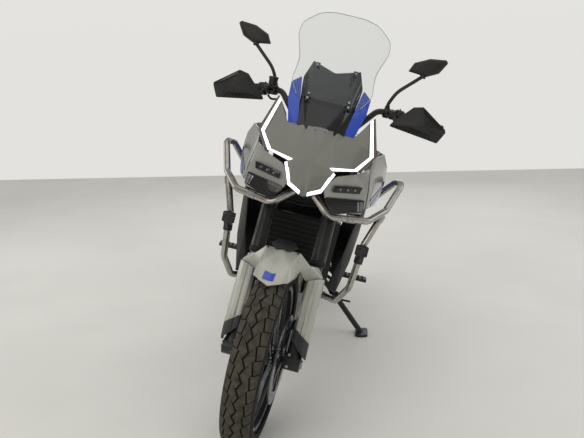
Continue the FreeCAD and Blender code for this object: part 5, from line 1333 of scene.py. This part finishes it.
# stations of the seats: y, heights of middle and top, half widths of foot, middle and top
RIDER_SEAT = [(870, 868, 896, 66, 86, 52), (960, 848, 868, 112, 124, 84), (1120, 846, 862, 110, 152, 112),
              (1216, 862, 890, 108, 150, 112), (1246, 890, 922, 108, 138, 100)]
PASSENGER_SEAT = [(1250, 892, 924, 98, 138, 104), (1400, 892, 922, 96, 138, 104), (1540, 892, 916, 84, 110, 84),
                  (1584, 894, 906, 72, 86, 60)]
RAILS = [(900, 778), (1250, 800), (1560, 850), (1668, 870)]
TAIL = [
    [(150, 872, 838), (152, 890, 800), (134, 920, 752)],
    [(150, 1100, 826), (156, 1110, 792), (132, 1120, 744)],
    [(140, 1300, 834), (146, 1320, 804), (122, 1330, 764)],
    [(104, 1560, 866), (112, 1580, 838), (98, 1570, 806)],
    [(62, 1672, 900), (66, 1690, 870), (60, 1664, 846)],
]


def rail_top(y):
    """Height of the seat rails' upper side at y."""
    for (y0, z0), (y1, z1) in zip(RAILS, RAILS[1:]):
        if y <= y1:
            break
    return z0 + (z1 - z0) * (y - y0) / (y1 - y0) + 11


def ring_of(half, y):
    """A closed ring of places at y from the left half's (x, z) points, from bottom to top."""
    ring = [(x, y, z) for x, z in half] + [(-x, y, z) for x, z in reversed(half)]
    return ring + ring[:1]


def tank():
    rows = [ring_of([(w0, low), (w1 - 3, mid - 8), (w1 - 1, (mid + high) / 2), (w1 - 8, high),
                     ((w1 + w2) / 2, (high + top) / 2 + 8), (w2 - 10, top - 2)], y)
            for y, low, mid, high, top, w0, w1, w2 in TANK]
    soft = [("row", i, 0.3) for i in range(len(TANK))] + [("col", j, 0.4) for j in range(len(rows[0]))]
    body = rounded(tidied(skin(rows, levels=3, crease=soft), True), 3, 3, 50)
    settled(body, "fuel_tank_shell", "silver", ["fuel_tank"], 45)
    spot = (0, 640, 0)
    cap = [turning([(1096, 24), (1096, 36), (1103, 36), (1105, 34), (1105, 24)], spot, 64),
           turning([(1100, 0.4), (1100, 25), (1107.5, 25), (1108.5, 24), (1108.5, 12), (1107.6, 11), (1107.6, 0.4)],
                   spot, 64)]
    settled(cap, "fuel_cap", "coat")
    screws = [stud((30 * math.cos(a), 640 + 30 * math.sin(a), 1104), (0, 0, 3), 3, 12)
              for a in (math.pi * k / 3 for k in range(6))]
    settled(screws, "fuel_cap_screws", "bolt")
    trim = [[(x * 0.93, y, top + 3 - 5 * (x / w) ** 2) for x in (-w, -w * 0.4, w * 0.4, w)]
            for y, top, w in ((722, 1098, 52), (780, 1064, 46), (812, 1036, 44))]
    settled(tidied(skin(trim, 3, 2, bevel=0.8)), "tank_centre_trim", "trim", smooth=40)


def swelled(seat, cap=0.008, steps=20):
    """Foam under a stretched cover: cloth pressure on the upper side, no point moved further than the cap in m."""
    only(seat)
    top = (BIKE.to_3x3() @ Vector((0, 0, 1))).normalized()
    held = seat.vertex_groups.new(name="held")
    held.add([v.index for v in seat.data.vertices if v.normal.dot(top) < 0.1], 1.0, "REPLACE")
    cloth = seat.modifiers.new("Cover", "CLOTH")
    for name, value in {"quality": 6, "mass": 0.3, "tension_stiffness": 35, "compression_stiffness": 35,
                        "bending_stiffness": 2.0, "use_pressure": True, "uniform_pressure_force": 4.0,
                        "vertex_group_mass": "held"}.items():
        setattr(cloth.settings, name, value)
    cloth.settings.effector_weights.gravity = 0.0
    cloth.point_cache.frame_start, cloth.point_cache.frame_end = 1, steps
    before = [v.co.copy() for v in seat.data.vertices]
    for step in range(1, steps + 1):
        bpy.context.scene.frame_set(step)
    bpy.ops.object.modifier_apply(modifier="Cover")
    for vertex, start in zip(seat.data.vertices, before):
        move = vertex.co - start
        if move.length > cap:
            vertex.co = start + move.normalized() * cap
    bpy.context.scene.frame_set(1)


def cushion(rows, name, node):
    """A seat of foam under a stretched cover: remeshed, swelled by cloth pressure, then smoothed."""
    rings = []
    for y, mid, top, w0, w1, w2 in rows:
        half = [(w0 - 3, rail_top(y) + 4), (w1 - 7, mid - 3), (w2 - 5, top - 9)]
        rings.append(ring_of(half, y + (4 if y == rows[0][0] else -5 if y == rows[-1][0] else 0)))
    seat = rounded(tidied(skin(rings, levels=0), True), 8, 3, 25)
    modify(seat, "REMESH", mode="VOXEL", voxel_size=6.0)
    flat(flat(seat), BIKE)
    swelled(seat)
    modify(seat, "SMOOTH", factor=0.5, iterations=3)
    modify(seat, "SUBSURF", levels=1, render_levels=1)
    seat.name = seat.data.name = name
    seat.data.materials.append(MAT["seat"])
    smoothed(seat, 60)
    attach(seat, "frame")
    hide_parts(node)


def seam(rows, name):
    """The piping round a seat's top edge."""
    runs = [pipe([(s * (w1 - 2), y, mid - 1) for y, mid, top, w0, w1, w2 in rows], 2.0, 8, 30) for s in SIDES]
    for (y, mid, top, w0, w1, w2), inset in ((rows[0], 6), (rows[-1], -6)):
        runs.append(pipe([(w1 - 4, y + inset / 2, mid), (w2, y + inset, top - 6), (-w2, y + inset, top - 6),
                          (-w1 + 4, y + inset / 2, mid)], 2.0, 8, 16))
    settled(runs, name, "grip", smooth=50)


def tail_cover():
    rows = []
    for i in range(len(TAIL) * 2 - 1):
        a, b = TAIL[i // 2], TAIL[min(i // 2 + i % 2, len(TAIL) - 1)]
        top, mid, low = ((Vector(p) + Vector(q)) / 2 for p, q in zip(a, b))
        rows.append([top, (top + mid) / 2 + off(1.5, 0, 0), mid, (mid + low) / 2, low])
    return tidied(skin(rows, 4, 1, [("col", 2, 0.7)], bevel=0.8))


def tail_band():
    rows = []
    for a, b in zip(TAIL[1:4], TAIL[2:5]):
        for t in (0, 0.5):
            top, mid = (Vector(p).lerp(Vector(q), t) for p, q in zip(a[:2], b[:2]))
            rows.append([top.lerp(mid, u) + off(2.6, 0, 0) for u in (0.25, 0.5, 0.8)])
    return tidied(skin(rows, 1.5, 1, bevel=0.5))


def tail_screws():
    return joined([stud(at, (3, 0, 0), 5, 16) for at in ((154, 1110, 800), (148, 1320, 808), (112, 1580, 842))])


def tail():
    settled(both_sides(tail_cover), "tail_cover_skins", "silver", ["tail_covers"], 40)
    settled(both_sides(tail_band), "tail_blue_bands", "blue", smooth=40)
    settled(both_sides(tail_screws), "tail_cover_screws", "bolt")
    dressed("undertail", "trim", 1.5)
    dressed("tail_lamps", "red", 2.5, 3)
    settled([stud((-42, 1697, z), (84, 0, 0), 1.6, 8) for z in (866, 874, 882)], "tail_lamp_ribs", "red", smooth=40)
    bases = [rounded(box(s * 126, s * 134, 1720, 1760, 674, 706), 3, 3, 40) for s in SIDES]
    settled(bases, "indicator_bases", "trim", smooth=40)
    tilt = Matrix.Translation((0, 1788, 572)) @ Matrix.Rotation(math.atan2(36, 144), 4, "X")
    settled(flat(rounded(box(-90, 90, 2.2, 4.0, -62, 62), 0.7, 2, 40), tilt), "blank_number_plate", "blank")
    settled(rounded(box(-22, 22, 1752, 1776, 652, 662), 3, 3, 40), "plate_lamp", "trim", smooth=40)


def rack():
    dressed("rear_rack", "coat", 1.4, 2)
    pads = [turning([(0, 0.4), (0, 8), (1.2, 9), (3.2, 9), (4, 8), (4, 0.4)], (s * 84, y, 928), 24)
            for s in SIDES for y in (1608, 1746)]
    settled(pads, "rack_pads", "grip")


tank()
for rows, seat in ((RIDER_SEAT, "rider_seat"), (PASSENGER_SEAT, "passenger_seat")):
    cushion(rows, seat + "_cover", seat)
    seam(rows, seat + "_piping")
tail()
rack()


# engine, drive and the low pieces

# y, z and pitch radius of the chain's sprockets
SPROCKETS = ((893.0, 400.0, 38.0), (1510.0, 321.0, 95.0))
CHAIN_X, LINK = 92, 15.875


def ring_of_bolts(x, out, y, z, radius, count, start=0.0):
    """Ears and bolt heads round a cover whose flange stands at x and whose outside looks along out."""
    ears, heads = [], []
    for a in (start + 2 * math.pi * k / count for k in range(count)):
        u, v = y + radius * math.cos(a), z + radius * math.sin(a)
        ears.append(stud((x, u, v), (out * 16, 0, 0), 8.5, 16, 7.5))
        heads.append(stud((x + out * 16, u, v), (out * 4.5, 0, 0), 5))
    return ears, heads


def engine():
    dressed("engine_cases", "engine", 2.0, 2, 25)
    dressed("cylinders", "engine", 0.9, 1, 25)
    ears, heads = [], []
    for cover in ((-132, -1, 800, 402, 98, 9), (-132, -1, 642, 378, 60, 5, 0.6), (74, 1, 668, 392, 86, 8)):
        ring = ring_of_bolts(*cover)
        ears += ring[0]
        heads += ring[1]
    heads += [stud((s * 102, y, z), (s * 6, 0, 0), 6) for s in SIDES for y, z in ((575, 690), (668, 712))]
    settled(ears, "engine_cover_ears", "engine", smooth=40)
    settled(heads, "engine_bolts", "bolt")
    rings = [lathe([(x, r - 3), (x + w, r - 2), (x + w, r + 2), (x, r + 3)], 64, (0, y, z))
             for x, w, r, y, z in ((-175.5, -2.4, 62, 800, 402), (-157.5, -2.4, 34, 642, 378),
                                   (139.5, 2.4, 52, 668, 392))]
    settled(rings, "engine_cover_rings", "engine", smooth=40)
    filler = lathe([(-183, 0.4), (-183, 15), (-191, 15), (-192, 13), (-192, 0.4)], 12, (0, 800, 402))
    settled(filler, "oil_filler_cap", "trim", smooth=25)


def chain_runs():
    """The chain's loop as straight runs and arcs: length, y, z, radius, angle and whether it is straight."""
    (y0, z0, r0), (y1, z1, r1) = SPROCKETS
    span = math.hypot(y1 - y0, z1 - z0)
    flare = math.asin((r1 - r0) / span)
    up, run = math.atan2(z1 - z0, y1 - y0) + math.pi / 2 + flare, span * math.cos(flare)
    down = up - math.pi - 2 * flare
    return [(run, y0, z0, r0, up, True), ((math.pi + 2 * flare) * r1, y1, z1, r1, up, False),
            (run, y1, z1, r1, down, True), ((math.pi - 2 * flare) * r0, y0, z0, r0, down, False)]


def chain_spot(s):
    """Place and direction of the chain's middle line at a run length from the front sprocket's top."""
    for length, y, z, r, a, straight in chain_runs():
        if s <= length:
            break
        s -= length
    if straight:
        return y + r * math.cos(a) + s * math.sin(a), z + r * math.sin(a) - s * math.cos(a), a - math.pi / 2
    turn = a - s / r
    return y + r * math.cos(turn), z + r * math.sin(turn), turn - math.pi / 2


def drive_chain():
    """Rollers between outer and inner plates, modelled once and copied along the loop."""
    whole = sum(run[0] for run in chain_runs())
    count = 2 * round(whole / (2 * LINK))
    pitch = whole / count
    kinds = []
    for gap in (7.4, 5.2):
        link = [rounded(box(s * gap - 0.9, s * gap + 0.9, -pitch / 2 - 6, pitch / 2 + 6, -6, 6), 4.5, 2, 60)
                for s in SIDES]
        kinds.append(joined(link + [stud((-7.5, -pitch / 2, 0), (15, 0, 0), 4.2, 12)]))
    links = []
    for k in range(count):
        y, z, turn = chain_spot(k * pitch)
        links.append(copied(kinds[k % 2], Matrix.Translation((CHAIN_X, y, z)) @ Matrix.Rotation(turn, 4, "X")))
    for kind in kinds:
        bpy.data.objects.remove(kind, do_unlink=True)
    settled(links, "drive_chain", "chain", ["chain"])


def coil(a, b, radius, wire, turns, steps=20):
    """A spring's wire wound from a to b."""
    way = (b - a).normalized()
    u = way.orthogonal().normalized()
    v = way.cross(u)
    spots = []
    for k in range(int(turns * steps) + 1):
        turn = 2 * math.pi * k / steps
        spots.append(a.lerp(b, k / (turns * steps)) + u * (radius * math.cos(turn)) + v * (radius * math.sin(turn)))
    return pipe(spots, wire, 12, 0.1)


def rear_shock():
    low, top = off(0, 1070, 424), off(0, 968, 700)
    way = (top - low).normalized()
    metal = [stud(low, way * 150, 13, 32), rod(low + way * 140, top, 20, 32), stud(top, (0, -26, 44), 12, 24),
             stud((-110, 942, 744), (220, 0, 0), 12, 24), rounded(box(-16, 16, 1056, 1084, 408, 424), 3)]
    metal += [stud(p - off(18, 0, 0), (36, 0, 0), 17, 32) for p in (low, top)]
    metal += [turning([(0, 0.4), (0, reach), (9, reach), (9, 0.4)], low + way * at, 40, way)
              for at, reach in ((40, 30), (54, 32))]
    metal.append(turning([(0, 0.4), (0, 32), (10, 30), (10, 0.4)], top - way * 52, 40, way))
    settled([rounded(m, 1.0, 2, 40) for m in metal], "shock_body", "bare", ["rear_shock"], 40)
    settled(coil(low + way * 66, top - way * 56, 27.5, 5, 6.5), "shock_spring", "coat", smooth=60)


def exhaust():
    dressed("exhaust", "exhaust", 1.5, 2, 30)
    low, top = off(-198, 1240, 372), off(-214, 1600, 548)
    way = (top - low).normalized()
    bands = [turning([(-9, 23), (-9, 26.5), (9, 26.5), (9, 23)], low - way * 34, 40, way)]
    bands += [turning([(-6, 18.5), (-6, 23), (6, 23), (6, 18.5)], at, 32, axis) for s in SIDES
              for at, axis in (((s * 48, 540, 637), (0, -0.94, -0.33)), ((s * 52, 494, 330), (0.02 * s, 0.02, -1)))]
    settled([rounded(b, 0.8, 2, 40) for b in bands], "exhaust_clamps", "bolt", smooth=40)
    up = Vector((1, 0, 0)).cross(way).normalized()
    up = up if up.z > 0 else -up
    # the shield's stations along the silencer, with the half width and half height there
    rows = [[tuple(low + way * at + off(x, 0, 0) + up * b) for x, b in
             ((-w * 0.66, -h * 1.02), (-w - 1.6, -h * 0.6), (-w - 1.6, 0), (-w - 1.6, h * 0.6), (-w * 0.66, h * 1.02))]
            for at, w, h in ((110, 47, 50), (170, 49, 53), (235, 50, 56), (300, 51, 56))]
    shield = tidied(skin(rows, 1.6, 2, [("col", 1, 0.6), ("col", 3, 0.6)], bevel=0.5))
    settled(shield, "silencer_shield", "coat", smooth=40)
    screws = [stud(low + way * at + up * b + off(-49 - at * 0.008, 0, 0), (-4, 0, 0), 5)
              for at in (130, 280) for b in (-24, 24)]
    settled(screws, "silencer_shield_screws", "bolt")


def radiator():
    dressed("radiator", "coat", 0.8, 1)
    settled([box(x - 0.4, x + 0.4, 391.5, 397, 530, 740) for x in range(-132, 133, 6)], "radiator_fins", "trim")
    cap = turning([(0, 0.4), (0, 17), (7, 17), (9, 15), (9, 0.4)], (-147, 411, 748), 16)
    settled(cap, "radiator_cap", "bolt")


def low_pieces():
    for node, finish, *rounding in (
            ("main_frame", "coat", 1.6, 2, 30), ("subframe", "coat", 1.4, 2, 30), ("swingarm", "arm", 3.0, 3, 30),
            ("radiator_shrouds", "trim", 2.0, 3), ("hugger", "trim"), ("skid_plate", "plate"),
            ("rear_caliper", "coat", 2.5, 3), ("footpegs", "coat", 1.6), ("side_stand", "coat", 1.6)):
        dressed(node, finish, *rounding)
    axle_z = rear_radius
    bolts, rubber, shoes = [], [], []
    for s in SIDES:
        for y, z, x, r in ((965, 400, 149, 15), (wheelbase, axle_z, 141, 17), (944, 466, 134, 9), (541, 402, 96, 10)):
            bolts += [stud((s * x, y, z), (s * 6, 0, 0), r), stud((s * x, y, z), (s * 2, 0, 0), r * 1.25, 32)]
        bolts.append(stud((s * 115, 1568, axle_z), (0, 12, 0), 6))
        bolts += [stud((s * x, y, z), (0, -8, 0), 6) for x, y, z in ((112, 472, 380), (124, 486, 320))]
        shoes += [rounded(box(s * 126.5, s * 131, 1486, 1534, axle_z - 16, axle_z + 16), 2),
                  rounded(box(s * 352, s * 355, 895, 935, 387, 399), 1.2, 2, 40)]
        # rubbers on the rider's pegs, the passenger's pegs and the pedals: x, half width, place and size
        for x, half, *rest in ([(214 + 20 * k, 6, 897, 933, 397, 403) for k in range(7)]
                               + [(168 + 17 * k, 5, 1244, 1272, 528, 533) for k in range(4)]):
            rubber.append(rounded(box(s * x - half, s * x + half, *rest), 1.5, 2, 40))
        rubber.append(rounded(rod((s * 200, 768, 344), (s * 236, 752, 348), 11, 20), 2, 2, 40))
    bolts += [stud((-118, 1445 + y, axle_z + 77 + z), (-6, 0, 0), 7) for y, z in ((-22, 8), (14, -8))]
    settled(bolts, "frame_bolts", "bolt")
    settled(shoes, "axle_plates_and_peg_ends", "bolt", smooth=40)
    settled(rubber, "peg_rubbers", "grip", smooth=40)


engine()
drive_chain()
rear_shock()
exhaust()
radiator()
low_pieces()


# the solid nodes that stay as they are take their real finish

FINISHES = {
    "tyre": "front_tyre rear_tyre",
    "rim": "front_rim rear_rim",
    "steel": "left_crash_bars right_crash_bars",
    "bolt": "front_spokes rear_spokes",
    "disc": "front_hub rear_hub",
    "fork": "fork_tubes",
    "grip": "brake_hoses",
}
for finish, names in FINISHES.items():
    for name in names.split():
        nodes[name].data.materials.clear()
        nodes[name].data.materials.append(MAT[finish])
